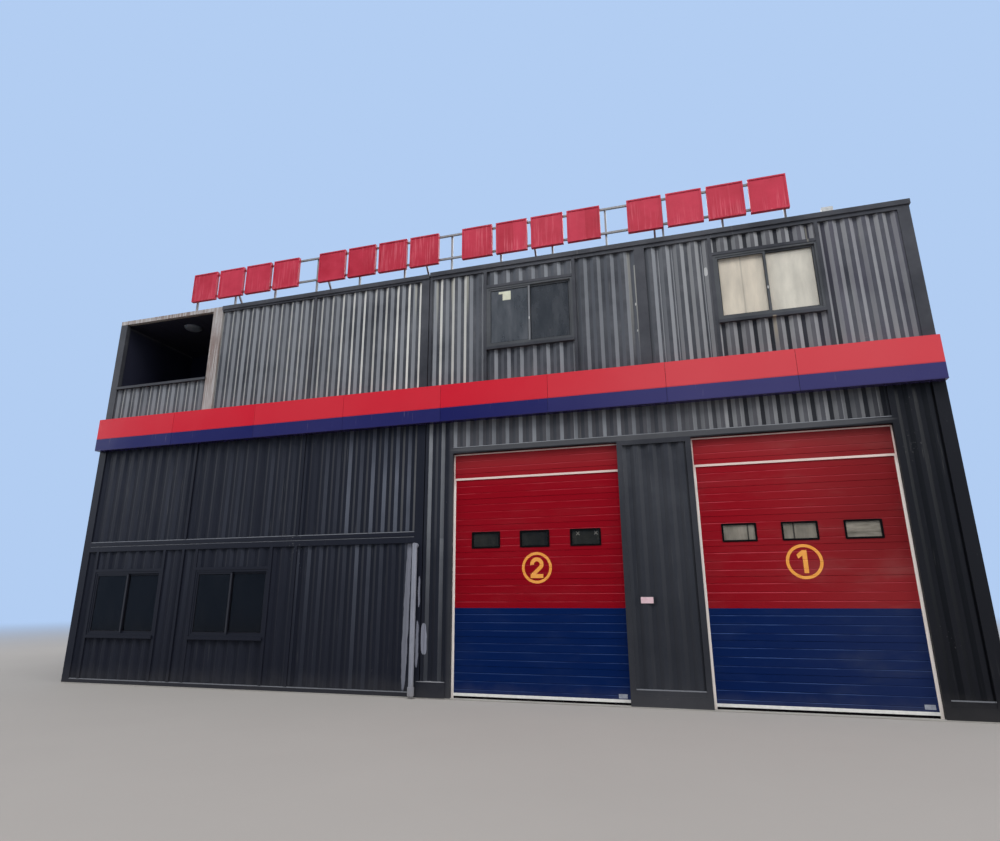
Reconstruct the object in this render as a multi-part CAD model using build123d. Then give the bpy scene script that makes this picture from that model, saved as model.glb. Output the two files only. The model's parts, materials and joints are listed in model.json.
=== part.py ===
"""Fire station of stacked steel modules: three rooms wide on the left, two tall engine bays on the right.

All sizes are in millimetres. The street front faces -Y and +X runs to the right along it.
The origin is the centre of the walls in plan, on the ground.
"""
import os
from math import ceil, floor
from build123d import *

# Plan of the two blocks
BUILDING_DEPTH = 12192
ROOM_MODULE_WIDTH = 2900
ROOM_MODULES = 3
BLOCK_SEAM = 20
LEFT_STRIP = 600
BAY_WIDTH = 3300
PIER_WIDTH = 1350
RIGHT_STRIP = 890

# Levels
SLAB_HEIGHT = 20
GROUND_STOREY = 3000
MIDDLE_STOREY = 2950
TOP_STOREY = 2880
ROOM_PARAPET_DROP = 30
PARAPET_HEIGHT = 180
FLOOR_THICKNESS = 120
ROOF_THICKNESS = 60
ROOF_BELOW_PARAPET = 40

# Wall build-up
SHEET_SETBACK = 24
SHEET_DEPTH = 40
LINING_DEPTH = 36
FOLD_DEPTH = 36
FOLD_PITCH = 278
FOLD_CREST = 72
FOLD_SLOPE = 68
EDGE_LAND = 34
SHORTEST_FACET = 3

# Posts, studs and rails in the wall's thickness
CORNER_POST = 200
SIDE_STUD = 100
ROOM_END_POST = 185
CENTRE_POST = 200
BLOCK_EDGE = 60
STUD = 65
BASE_RAIL_HEIGHT = 90
LOWER_RAIL = 130
UPPER_RAIL = 100
BEVEL_HEIGHT = 18
BEVEL_DEPTH = 14
CAP_HEIGHT = 100
CAP_PROJECTION = 25
SEAM_SETBACK = 60

# Bay fronts
JAMB = 100
PIER_FLAT = 100
BAY_HEAD_HEIGHT = 4640
HEAD_BEAM = 130
PIER_CAP_DROP = 70
SKIRTING_TOP = 300
SKIRTING_STEP = 200
STEP_DEPTH = 8
PLINTH_PLATE = 8
PLINTH_FROM_SEAM = 60
DOOR_OVERLAP = 50
CURTAIN_THICKNESS = 40
SEAL_HEIGHT = 40
SECTION_HEIGHT = 520
LOWER_SECTION_COUNT = 3
RIB_SPACING = 145
RIB_GROOVE = 14
RIB_DEPTH = 5
JOINT_GROOVE = 10
JOINT_DEPTH = 9
TRANSOM_BOTTOM = 4130
TRANSOM_STRIP = 40
SIDE_TRIM = 45
UPPER_SIDE_TRIM = 24
HEAD_TRIM = 20
HEAD_TRIM_DROP = 16
TRIM_DEPTH = 16
DOOR_WINDOW_WIDTH = 580
DOOR_WINDOW_HEIGHT = 320
DOOR_WINDOW_PITCH = 975
DOOR_WINDOW_CENTRE = 2890
DOOR_WINDOW_RADIUS = 20
GASKET = 32
GASKET_PROUD = 8
GASKET_LAP = 12
DOOR_GLASS = 8

# Room windows
WINDOW_WIDTH = 1865
WINDOW_HEIGHT = 1380
GROUND_SILL = 1010
UPPER_SILL = 930
ROOM_WINDOW_OFFSETS = (-30, -115)
WINDOW_RAIL = 60
SILL_PROJECTION = 30
FRAME_WIDTH = 45
FRAME_DEPTH = 80
FRAME_SETBACK = 10
SASH_WIDTH = 42
SASH_DEPTH = 28
SASH_GAP = 4
PANE = 6
BLIND = 4
BLIND_GAP = 4

# Fascia across both blocks
FASCIA_BOTTOM = 5300
FASCIA_BLUE = 290
FASCIA_RED = 500
FASCIA_PROJECTION = 150
FASCIA_SHEET = 20
FASCIA_PANELS = 8
FASCIA_JOINT = 6
FASCIA_LUG = 60
FASCIA_LUG_UP = 40

# Open loggia in the first room module of the top storey
LOGGIA_DEPTH = 2400
LOGGIA_POST_WIDTH = 270
LOGGIA_BEAM = 100
LOGGIA_WALL = 80
APRON_HEIGHT = 1020
LAMP_DIAMETER = 440
LAMP_HEIGHT = 90
LAMP_FROM_POST = 1190
LAMP_FROM_FRONT = 635

# Roof sign
SIGN_CENTRE = 120
SIGN_TUBE = 40
SIGN_POST_PITCH = 1151
SIGN_BAYS = 12
SIGN_LOWER_RAIL = 320
SIGN_UPPER_RAIL = 895
SIGN_SETBACK = 20
BRACE_COUNT = 5
BRACE_PITCH = 2590
BRACE_FIRST = 980
BRACE_SPREAD = 700
SIGN_GROUPS = 4
BOXES_IN_GROUP = 4
GROUP_PITCH = 3633
BOX_PITCH = 790
BOX_WIDTH = 700
BOX_HEIGHT = 750
BOX_DEPTH = 80
BOX_ABOVE_PARAPET = 200
BOX_RIM = 30
BOX_RECESS = 12

# Downpipe
PIPE_DIAMETER = 100
PIPE_WALL_GAP = 18
PIPE_FROM_SEAM = 130
PIPE_BELOW_RAIL = 10
PIPE_FOOT = 30
COLLAR_PROUD = 15
COLLAR_HEIGHT = 150
COLLAR_BASE = 50

# Derived plan
WALL = SHEET_SETBACK + SHEET_DEPTH + LINING_DEPTH
ROOM_WIDTH = ROOM_MODULES * ROOM_MODULE_WIDTH
BAY_BLOCK_WIDTH = LEFT_STRIP + BAY_WIDTH + PIER_WIDTH + BAY_WIDTH + RIGHT_STRIP
BUILDING_WIDTH = ROOM_WIDTH + BLOCK_SEAM + BAY_BLOCK_WIDTH
WEST = -BUILDING_WIDTH / 2
EAST = BUILDING_WIDTH / 2
SOUTH = -BUILDING_DEPTH / 2
ROOM_EAST = WEST + ROOM_WIDTH
BAY_WEST = ROOM_EAST + BLOCK_SEAM
BAY_2 = (BAY_WEST + LEFT_STRIP, BAY_WEST + LEFT_STRIP + BAY_WIDTH)
PIER = (BAY_2[1], BAY_2[1] + PIER_WIDTH)
BAY_1 = (PIER[1], PIER[1] + BAY_WIDTH)
PIER_CENTRE = (PIER[0] + PIER[1]) / 2
BAY_CENTRES = [(BAY_2[0] + BAY_2[1]) / 2, (BAY_1[0] + BAY_1[1]) / 2]
MODULE_CENTRES = [WEST + (k + 0.5) * ROOM_MODULE_WIDTH for k in range(ROOM_MODULES)]
MODULE_JOINTS = [WEST + k * ROOM_MODULE_WIDTH for k in range(1, ROOM_MODULES)]
ROOM_WINDOWS = [centre + offset for centre, offset in zip(MODULE_CENTRES, ROOM_WINDOW_OFFSETS)]
ROOM_FOLD = ROOM_EAST - ROOM_END_POST - FOLD_PITCH + FOLD_CREST
BAY_FOLD = BAY_WEST + BLOCK_EDGE + EDGE_LAND

# Derived levels
MIDDLE_FLOOR = GROUND_STOREY
UPPER_FLOOR = MIDDLE_FLOOR + MIDDLE_STOREY
PARAPET = UPPER_FLOOR + TOP_STOREY
WALL_TOP = PARAPET - PARAPET_HEIGHT
BASE_TOP = SLAB_HEIGHT + BASE_RAIL_HEIGHT
LOWER_RAIL_BASES = [MIDDLE_FLOOR - LOWER_RAIL, UPPER_FLOOR - LOWER_RAIL]
ROOM_PARAPET = PARAPET - ROOM_PARAPET_DROP
ROOF_TOP = ROOM_PARAPET - ROOF_BELOW_PARAPET
HEAD_TOP = BAY_HEAD_HEIGHT + HEAD_BEAM
PIER_TOP = BAY_HEAD_HEIGHT - PIER_CAP_DROP
CURTAIN_BOTTOM = SLAB_HEIGHT + SEAL_HEIGHT
COLOUR_LINE = CURTAIN_BOTTOM + LOWER_SECTION_COUNT * SECTION_HEIGHT
CURTAIN_TOP = TRANSOM_BOTTOM - TRANSOM_STRIP
DOOR_FRONT = SOUTH + WALL
DOOR_BACK = DOOR_FRONT + CURTAIN_THICKNESS

NODES = {}


def add(node, *solids):
    """Keep solids that are one kind of piece together under one name."""
    NODES.setdefault(node, []).extend(solids)


def block(x, y, z):
    """A rectangular piece given its two ends along each axis."""
    centre = [(low + high) / 2 for low, high in (x, y, z)]
    return Pos(*centre) * Box(*[high - low for low, high in (x, y, z)])


def profile_along_x(outline, x):
    """Extrude a closed outline of (y, z) points from one x to another."""
    face = make_face(Polyline(*[(0, y, z) for y, z in outline], close=True))
    return Pos(x[0], 0, 0) * extrude(face, x[1] - x[0], dir=(1, 0, 0))


def on_back(solids):
    """The same pieces on the back wall, straight behind those of the front."""
    return [mirror(solid, about=Plane.XZ) for solid in solids]


def on_side(solids, west):
    """Turn pieces built along x behind y = 0 onto the right-hand side wall, or the left one."""
    turned = [Pos(EAST, 0, 0) * Rot(0, 0, 90) * solid for solid in solids]
    return [mirror(solid, about=Plane.YZ) for solid in turned] if west else turned


def fold_line(x, fold_at):
    """Front line of a corrugated sheet as (x, depth) points, with one of its folds starting at fold_at."""
    valley_end = FOLD_PITCH - FOLD_CREST

    def depth(px):
        place = (px - fold_at) % FOLD_PITCH
        return FOLD_DEPTH * max(0, min(1, place / FOLD_SLOPE, (valley_end - place) / FOLD_SLOPE))

    corners = []
    for fold in range(floor((x[0] - fold_at) / FOLD_PITCH), ceil((x[1] - fold_at) / FOLD_PITCH)):
        begin = fold_at + fold * FOLD_PITCH
        corners += [begin, begin + FOLD_SLOPE, begin + valley_end - FOLD_SLOPE, begin + valley_end]
    inside = [px for px in corners if x[0] + SHORTEST_FACET < px < x[1] - SHORTEST_FACET]
    return [(px, depth(px)) for px in [x[0]] + inside + [x[1]]]


def folded_sheet(x, z, fold_at, face_y=SOUTH):
    """Corrugated steel sheet set back from the wall face, flat at the back, cut wherever it meets a post."""
    outline = fold_line(x, fold_at) + [(x[1], SHEET_DEPTH), (x[0], SHEET_DEPTH)]
    face = make_face(Polyline(*[(px, py, 0) for px, py in outline], close=True))
    return Pos(0, face_y + SHEET_SETBACK, z[0]) * extrude(face, z[1] - z[0], dir=(0, 0, 1))


def lining(x, z, face_y=SOUTH):
    """Insulated inner board behind a sheet of the same size."""
    return block(x, (face_y + SHEET_SETBACK + SHEET_DEPTH, face_y + WALL), z)


def full_depth(x, z, face_y=SOUTH):
    """A post, stud or rail as deep as the wall."""
    return block(x, (face_y, face_y + WALL), z)


def bevelled_rail(x, z, face_y=SOUTH):
    """A rail as deep as the wall whose upper front edge is bevelled."""
    outline = [
        (face_y, z[0]),
        (face_y, z[1] - BEVEL_HEIGHT),
        (face_y + BEVEL_DEPTH, z[1]),
        (face_y + WALL, z[1]),
        (face_y + WALL, z[0]),
    ]
    return profile_along_x(outline, x)


def storey_rail(x, base, face_y=SOUTH):
    """Top rail of one module with the bottom rail of the next standing on it, each bevelled at its top."""
    joint = base + LOWER_RAIL
    return bevelled_rail(x, (base, joint), face_y) + bevelled_rail(x, (joint, joint + UPPER_RAIL), face_y)


def parapet_rail(x, top, face_y=SOUTH, wrap_west=False, wrap_east=False):
    """Roof-edge rail whose upper half stands a little proud, as a capping that can turn the corner."""
    outline = [
        (face_y, WALL_TOP),
        (face_y, top - CAP_HEIGHT),
        (face_y - CAP_PROJECTION, top - CAP_HEIGHT),
        (face_y - CAP_PROJECTION, top),
        (face_y + WALL, top),
        (face_y + WALL, WALL_TOP),
    ]
    rail = profile_along_x(outline, x)
    cap = ((face_y - CAP_PROJECTION, face_y + WALL), (top - CAP_HEIGHT, top))
    if wrap_west:
        rail += block((x[0] - CAP_PROJECTION, x[0]), *cap)
    if wrap_east:
        rail += block((x[1], x[1] + CAP_PROJECTION), *cap)
    return rail


def window_frame(centre, sill):
    """Outer frame of a sliding window, set into its opening."""
    depth = (SOUTH + FRAME_SETBACK, SOUTH + FRAME_SETBACK + FRAME_DEPTH)
    half = WINDOW_WIDTH / 2
    outer = block((centre - half, centre + half), depth, (sill, sill + WINDOW_HEIGHT))
    hole_x = (centre - half + FRAME_WIDTH, centre + half - FRAME_WIDTH)
    hole_z = (sill + FRAME_WIDTH, sill + WINDOW_HEIGHT - FRAME_WIDTH)
    return outer - block(hole_x, depth, hole_z)


def sash_places(centre, sill):
    """Where the two sliding sashes stand: (x range, front y) of each, and their shared z range."""
    inner = WINDOW_WIDTH / 2 - FRAME_WIDTH
    overlap = SASH_WIDTH / 2
    middle = SOUTH + FRAME_SETBACK + FRAME_DEPTH / 2
    front = middle - SASH_GAP / 2 - SASH_DEPTH
    back = middle + SASH_GAP / 2
    z = (sill + FRAME_WIDTH, sill + WINDOW_HEIGHT - FRAME_WIDTH)
    left = (centre - inner, centre + overlap)
    right = (centre - overlap, centre + inner)
    return [(left, front), (right, back)], z


def window_sashes(centre, sill):
    """Two sashes, the left one in the outer track, and the pane that each holds."""
    sashes, panes = [], []
    places, z = sash_places(centre, sill)
    for x, front in places:
        depth = (front, front + SASH_DEPTH)
        pane_x = (x[0] + SASH_WIDTH, x[1] - SASH_WIDTH)
        pane_z = (z[0] + SASH_WIDTH, z[1] - SASH_WIDTH)
        pane_y = front + SASH_DEPTH / 2
        sashes.append(block(x, depth, z) - block(pane_x, depth, pane_z))
        panes.append(block(pane_x, (pane_y - PANE / 2, pane_y + PANE / 2), pane_z))
    return sashes, panes


def window_rails(centre, sill):
    """Head rail and projecting sill rail of one window."""
    half = WINDOW_WIDTH / 2
    x = (centre - half, centre + half)
    head = full_depth(x, (sill + WINDOW_HEIGHT, sill + WINDOW_HEIGHT + WINDOW_RAIL))
    ledge = block(x, (SOUTH - SILL_PROJECTION, SOUTH + WALL), (sill - WINDOW_RAIL, sill))
    return [head, ledge]


def storey_wall(x, z, fold_at, windows=(), sill=0, strips=()):
    """One storey of front wall between two posts.

    Studs stand on both sides of each window and at each module strip, and a sheet with its
    lining fills each space between studs, or the parts below and above a window. The folds
    run on evenly from one sheet to the next.
    """
    half = WINDOW_WIDTH / 2
    starts = [centre - half - STUD for centre in windows]
    starts += [centre + half for centre in windows]
    starts += [strip - STUD / 2 for strip in strips]
    starts.sort()
    pieces = {"studs": [full_depth((s, s + STUD), z) for s in starts]}
    for name in ("sheets", "linings", "rails", "frames", "sashes", "panes"):
        pieces[name] = []
    lefts = [x[0]] + [s + STUD for s in starts]
    rights = starts + [x[1]]
    for left, right in zip(lefts, rights):
        inside = [centre for centre in windows if left < centre < right]
        heights = [z]
        if inside:
            heights = [(z[0], sill - WINDOW_RAIL), (sill + WINDOW_HEIGHT + WINDOW_RAIL, z[1])]
            pieces["rails"] += window_rails(inside[0], sill)
            pieces["frames"].append(window_frame(inside[0], sill))
            sashes, panes = window_sashes(inside[0], sill)
            pieces["sashes"] += sashes
            pieces["panes"] += panes
        for height in heights:
            pieces["sheets"].append(folded_sheet((left, right), height, fold_at))
            pieces["linings"].append(lining((left, right), height))
    return pieces


def keep_storey(pieces, sheet_node, lining_node, place=list):
    """Put the pieces of a storey into their nodes, as built or moved to another wall."""
    names = {
        "sheets": sheet_node,
        "linings": lining_node,
        "studs": "wall_studs",
        "rails": "window_rails",
        "frames": "window_frames",
        "sashes": "window_sashes",
        "panes": "window_glass",
    }
    for key, node in names.items():
        add(node, *place(pieces[key]))


def room_storeys(with_loggia):
    """The three storeys of the room block's wall, bottom up."""
    strips = MODULE_JOINTS
    x = (WEST + CORNER_POST, ROOM_EAST - ROOM_END_POST)
    ground = storey_wall(x, (BASE_TOP, LOWER_RAIL_BASES[0]), ROOM_FOLD, ROOM_WINDOWS,
                         GROUND_SILL + SLAB_HEIGHT, strips)
    middle = storey_wall(x, (MIDDLE_FLOOR + UPPER_RAIL, LOWER_RAIL_BASES[1]), ROOM_FOLD, strips=strips)
    top_z = (UPPER_FLOOR + UPPER_RAIL, WALL_TOP)
    if not with_loggia:
        return [ground, middle, storey_wall(x, top_z, ROOM_FOLD, strips=strips)]
    start = MODULE_JOINTS[0] + LOGGIA_POST_WIDTH
    return [ground, middle, storey_wall((start, x[1]), top_z, ROOM_FOLD, strips=strips[1:])]


def upper_bay_storeys():
    """Top storey of the bay block, each side of its centre post."""
    z = (UPPER_FLOOR + UPPER_RAIL, WALL_TOP)
    sill = UPPER_FLOOR + UPPER_SILL
    left = (BAY_WEST + BLOCK_EDGE, PIER_CENTRE - CENTRE_POST / 2)
    right = (PIER_CENTRE + CENTRE_POST / 2, EAST - CORNER_POST)
    return [storey_wall(left, z, BAY_FOLD, BAY_CENTRES[:1], sill),
            storey_wall(right, z, BAY_FOLD, BAY_CENTRES[1:], sill)]


def front_and_back_walls():
    """Sheets, linings, studs and windows of the two long walls."""
    for pieces in room_storeys(True):
        keep_storey(pieces, "room_sheets", "front_lining")
    for pieces in upper_bay_storeys():
        keep_storey(pieces, "upper_bay_sheets", "front_lining")
    for pieces in room_storeys(False) + upper_bay_storeys():
        keep_storey(pieces, "back_sheets", "back_lining", on_back)
    tall = storey_wall((BAY_WEST + BLOCK_EDGE, EAST - CORNER_POST), (BASE_TOP, LOWER_RAIL_BASES[1]),
                       BAY_FOLD, strips=[PIER_CENTRE])
    keep_storey(tall, "back_sheets", "back_lining", on_back)


def posts():
    """Corner posts, and the posts that end and divide the two blocks."""
    full = (SLAB_HEIGHT, WALL_TOP)
    corners = [full_depth((EAST - CORNER_POST, EAST), full)]
    west_corner = full_depth((WEST, WEST + CORNER_POST), full)
    inner = [
        full_depth((ROOM_EAST - ROOM_END_POST, ROOM_EAST), full),
        full_depth((BAY_WEST, BAY_WEST + BLOCK_EDGE), full),
        full_depth((PIER_CENTRE - CENTRE_POST / 2, PIER_CENTRE + CENTRE_POST / 2),
                   (UPPER_FLOOR + UPPER_RAIL, WALL_TOP)),
    ]
    front_west = full_depth((WEST, WEST + CORNER_POST), (SLAB_HEIGHT, ROOM_PARAPET - LOGGIA_BEAM))
    add("corner_posts", *corners, front_west, *on_back(corners), *on_back([west_corner]))
    add("block_posts", *inner, *on_back(inner))


def rails():
    """Base rails, storey rails and roof-edge rails of all four walls."""
    room_x = (WEST + CORNER_POST, ROOM_EAST - ROOM_END_POST)
    bay_x = (BAY_WEST + BLOCK_EDGE, EAST - CORNER_POST)
    base = (SLAB_HEIGHT, BASE_TOP)
    room_rails = [storey_rail(room_x, level) for level in LOWER_RAIL_BASES]
    bay_rail = storey_rail(bay_x, LOWER_RAIL_BASES[1])
    both = room_rails + [bay_rail, bevelled_rail(room_x, base)]
    add("storey_rails", *both, *on_back(both), *on_back([bevelled_rail(bay_x, base)]))

    beam_end = MODULE_JOINTS[0] + LOGGIA_POST_WIDTH
    bay_edge = parapet_rail((BAY_WEST, EAST), PARAPET, wrap_east=True)
    front = [parapet_rail((beam_end, ROOM_EAST), ROOM_PARAPET), bay_edge]
    back = [parapet_rail((WEST, ROOM_EAST), ROOM_PARAPET, wrap_west=True), bay_edge]
    add("roof_edge_rails", *front, *on_back(back))


def side_walls():
    """Plain end walls: end studs, a rail at each storey and one sheet a storey."""
    ends = (SOUTH + WALL, -SOUTH - WALL)
    inner = (ends[0] + SIDE_STUD, ends[1] - SIDE_STUD)
    studs = [full_depth((ends[0], inner[0]), (SLAB_HEIGHT, WALL_TOP), 0),
             full_depth((inner[1], ends[1]), (SLAB_HEIGHT, WALL_TOP), 0)]
    top = (UPPER_FLOOR + UPPER_RAIL, WALL_TOP)
    room_levels = [(BASE_TOP, LOWER_RAIL_BASES[0]), (MIDDLE_FLOOR + UPPER_RAIL, LOWER_RAIL_BASES[1]), top]
    bay_levels = [(BASE_TOP, LOWER_RAIL_BASES[1]), top]
    base = bevelled_rail(inner, (SLAB_HEIGHT, BASE_TOP), 0)
    for west, levels, bases, parapet in (
        (True, room_levels, LOWER_RAIL_BASES, ROOM_PARAPET),
        (False, bay_levels, LOWER_RAIL_BASES[1:], PARAPET),
    ):
        add("side_sheets", *on_side([folded_sheet(inner, z, inner[0], 0) for z in levels], west))
        add("side_lining", *on_side([lining(inner, z, 0) for z in levels], west))
        add("wall_studs", *on_side(studs, west))
        add("storey_rails", *on_side([base] + [storey_rail(inner, level, 0) for level in bases], west))
        add("side_roof_edge_rails", *on_side([parapet_rail(ends, parapet, 0)], west))


def seams():
    """Strips that close the joint between the two blocks, on both long walls and over the roof."""
    x = (ROOM_EAST, BAY_WEST)
    upright = block(x, (SOUTH + SEAM_SETBACK, SOUTH + WALL), (SLAB_HEIGHT, ROOM_PARAPET))
    over = block(x, (SOUTH + WALL, -SOUTH - WALL), (ROOF_TOP - ROOF_THICKNESS, ROOF_TOP))
    add("block_seams", upright, *on_back([upright]))
    add("roof_seam", over)


def skirting(x):
    """Steel skirting with a small step part way up and a bevelled top."""
    outline = [
        (SOUTH, SLAB_HEIGHT),
        (SOUTH, SKIRTING_STEP),
        (SOUTH + STEP_DEPTH, SKIRTING_STEP),
        (SOUTH + STEP_DEPTH, SKIRTING_TOP - BEVEL_HEIGHT),
        (SOUTH + STEP_DEPTH + BEVEL_DEPTH, SKIRTING_TOP),
        (SOUTH + WALL, SKIRTING_TOP),
        (SOUTH + WALL, SLAB_HEIGHT),
    ]
    return profile_along_x(outline, x)


def bay_front():
    """Steel portal of the two bays with its skirting, pier, side strips and lintel."""
    tall = (SLAB_HEIGHT, LOWER_RAIL_BASES[1])
    left = (BAY_WEST + BLOCK_EDGE, BAY_2[0] - JAMB)
    right = (BAY_1[1] + JAMB, EAST - CORNER_POST)
    pier = (PIER[0] + PIER_FLAT, PIER[1] - PIER_FLAT)
    add("bay_jambs",
        full_depth((left[1], BAY_2[0]), tall),
        full_depth((PIER[0], pier[0]), (SLAB_HEIGHT, PIER_TOP)),
        full_depth((pier[1], PIER[1]), (SLAB_HEIGHT, PIER_TOP)),
        full_depth((BAY_1[1], right[0]), tall))
    beam = bevelled_rail((BAY_2[0], BAY_1[1]), (BAY_HEAD_HEIGHT, HEAD_TOP))
    add("bay_head", beam + full_depth(PIER, (PIER_TOP, BAY_HEAD_HEIGHT)))
    plinth = block((ROOM_EAST - PLINTH_FROM_SEAM, left[1]), (SOUTH - PLINTH_PLATE, SOUTH),
                   (SLAB_HEIGHT, SKIRTING_TOP))
    add("bay_skirting", skirting(left) + plinth, skirting(pier), skirting(right))
    above = (SKIRTING_TOP, LOWER_RAIL_BASES[1])
    spans = [(left, above), (right, above), (pier, (SKIRTING_TOP, PIER_TOP)),
             ((BAY_2[0], BAY_1[1]), (HEAD_TOP, LOWER_RAIL_BASES[1]))]
    add("bay_sheets", *[folded_sheet(x, z, x[0]) for x, z in spans])
    add("front_lining", *[lining(x, z) for x, z in spans])


def groove_levels(bottom, top):
    """Heights of the pressed ribs and of the section joints between two levels of a door."""
    ribs, joints = [], []
    for section in range(ceil((BAY_HEAD_HEIGHT + DOOR_OVERLAP - CURTAIN_BOTTOM) / SECTION_HEIGHT)):
        base = CURTAIN_BOTTOM + section * SECTION_HEIGHT
        middle = base + SECTION_HEIGHT / 2
        ribs += [middle - RIB_SPACING, middle, middle + RIB_SPACING]
        joints.append(base)
    clear = JOINT_GROOVE
    return ([z for z in ribs if bottom + clear < z < top - clear],
            [z for z in joints if bottom + clear < z < top - clear])


def ribbed_panel(x, bottom, top):
    """Part of a sectional door: flat at the back, pressed ribs and section joints in front."""
    ribs, joints = groove_levels(bottom, top)
    grooves = [(z, RIB_GROOVE, RIB_DEPTH) for z in ribs] + [(z, JOINT_GROOVE, JOINT_DEPTH) for z in joints]
    outline = [(DOOR_FRONT, bottom)]
    for z, width, depth in sorted(grooves):
        outline += [(DOOR_FRONT, z - width / 2), (DOOR_FRONT + depth, z), (DOOR_FRONT, z + width / 2)]
    outline += [(DOOR_FRONT, top), (DOOR_BACK, top), (DOOR_BACK, bottom)]
    return profile_along_x(outline, x)


def door_window_places(bay):
    """Centres of the three windows of a door."""
    middle = (bay[0] + bay[1]) / 2
    return [middle + k * DOOR_WINDOW_PITCH for k in (-1, 0, 1)]


def upright_plate(place, size, y, radius=0):
    """A plate parallel to the front, given its centre (x, z), its width and height, and its two faces."""
    width, height = size
    outline = RectangleRounded(width, height, radius) if radius else Rectangle(width, height)
    return Pos(place[0], y[0], place[1]) * extrude(Plane.XZ * outline, y[1] - y[0], dir=(0, 1, 0))


def door_window(place):
    """Rubber frame with a rounded flange on the panel and a sleeve through it, and the pane inside."""
    size = (DOOR_WINDOW_WIDTH, DOOR_WINDOW_HEIGHT)
    light = [length - 2 * GASKET for length in size]
    hole = upright_plate(place, [length - 2 * GASKET_LAP for length in size], (DOOR_FRONT, DOOR_BACK))
    gasket = upright_plate(place, size, (DOOR_FRONT - GASKET_PROUD, DOOR_FRONT), DOOR_WINDOW_RADIUS) + hole
    gasket -= upright_plate(place, light, (DOOR_FRONT - GASKET_PROUD, DOOR_BACK))
    middle = (DOOR_FRONT + DOOR_BACK) / 2
    pane = upright_plate(place, light, (middle - DOOR_GLASS / 2, middle + DOOR_GLASS / 2))
    return hole, gasket, pane


def door_trim(bay, x, right_side):
    """White strip under the fixed panel with its side and head trims, which lie on the door's front."""
    y = (DOOR_FRONT - TRIM_DEPTH, DOOR_FRONT)
    level = (CURTAIN_TOP, TRANSOM_BOTTOM)
    strip = block(bay, y, level) + block(x, (DOOR_FRONT, DOOR_BACK), level)
    head = BAY_HEAD_HEIGHT - HEAD_TRIM_DROP
    strip += block(bay, y, (head - HEAD_TRIM, head))
    for width, z in ((SIDE_TRIM, (SLAB_HEIGHT, CURTAIN_TOP)), (UPPER_SIDE_TRIM, (TRANSOM_BOTTOM, head))):
        strip += block((bay[0], bay[0] + width), y, z)
        if right_side:
            strip += block((bay[1] - width, bay[1]), y, z)
    return strip


def door(number, bay, trim_on_right):
    """One sectional door behind its opening, with its fixed panel above, windows, seal and trims."""
    x = (bay[0] - DOOR_OVERLAP, bay[1] + DOOR_OVERLAP)
    upper = ribbed_panel(x, COLOUR_LINE, CURTAIN_TOP)
    for centre in door_window_places(bay):
        hole, gasket, pane = door_window((centre, DOOR_WINDOW_CENTRE))
        upper -= hole
        add("door_window_frames", gasket)
        add("door_glass", pane)
    add(f"door_{number}_upper", upper)
    add(f"door_{number}_lower", ribbed_panel(x, CURTAIN_BOTTOM, COLOUR_LINE))
    add("door_transoms", ribbed_panel(x, TRANSOM_BOTTOM, BAY_HEAD_HEIGHT + DOOR_OVERLAP))
    add("door_seals", block(x, (DOOR_FRONT, DOOR_BACK), (SLAB_HEIGHT, CURTAIN_BOTTOM)))
    add("door_trims", door_trim(bay, x, trim_on_right))


def fascia():
    """Two rows of folded cassettes in front of the wall, closed to it at the top, bottom and ends.

    A lug along the back of each red cassette rests against the storey rail; the blue row hangs on the red.
    """
    out = SOUTH - FASCIA_PROJECTION
    line = FASCIA_BOTTOM + FASCIA_BLUE
    top = line + FASCIA_RED
    width = BUILDING_WIDTH / FASCIA_PANELS
    skin = FASCIA_SHEET
    lug = LOWER_RAIL_BASES[1] + FASCIA_LUG_UP
    red = [(out, line), (out, top), (SOUTH, top),
           (SOUTH, top - skin), (out + skin, top - skin),
           (out + skin, lug + FASCIA_LUG), (SOUTH, lug + FASCIA_LUG), (SOUTH, lug), (out + skin, lug),
           (out + skin, line)]
    blue = [(out, line), (out, FASCIA_BOTTOM), (SOUTH, FASCIA_BOTTOM),
            (SOUTH, FASCIA_BOTTOM + skin), (out + skin, FASCIA_BOTTOM + skin), (out + skin, line)]
    for node, outline, low, high in (
        ("fascia_red", red, line, top),
        ("fascia_blue", blue, FASCIA_BOTTOM, line),
    ):
        for panel in range(FASCIA_PANELS):
            left = WEST + panel * width + (FASCIA_JOINT / 2 if panel else 0)
            right = WEST + (panel + 1) * width - (FASCIA_JOINT / 2 if panel < FASCIA_PANELS - 1 else 0)
            cassette = profile_along_x(outline, (left, right))
            if panel == 0:
                cassette += block((left, left + skin), (out + skin, SOUTH), (low, high))
            if panel == FASCIA_PANELS - 1:
                cassette += block((right - skin, right), (out + skin, SOUTH), (low, high))
            add(node, cassette)


def floors_and_roof():
    """Ground slab, floors at the storey rails and the two flat roof decks."""
    add("ground_slab", block((WEST, EAST), (SOUTH, -SOUTH), (0, SLAB_HEIGHT)))
    y = (SOUTH + WALL, -SOUTH - WALL)
    room_x = (WEST + WALL, ROOM_EAST)
    bay_x = (BAY_WEST, EAST - WALL)
    add("middle_floor", block(room_x, y, (MIDDLE_FLOOR - FLOOR_THICKNESS, MIDDLE_FLOOR)))
    floor_z = (UPPER_FLOOR - FLOOR_THICKNESS, UPPER_FLOOR)
    deck_z = (ROOF_TOP - ROOF_THICKNESS, ROOF_TOP)
    add("upper_floors", block(room_x, y, floor_z), block(bay_x, y, floor_z))
    add("roof_decks", block(room_x, y, deck_z), block(bay_x, y, deck_z))


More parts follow.
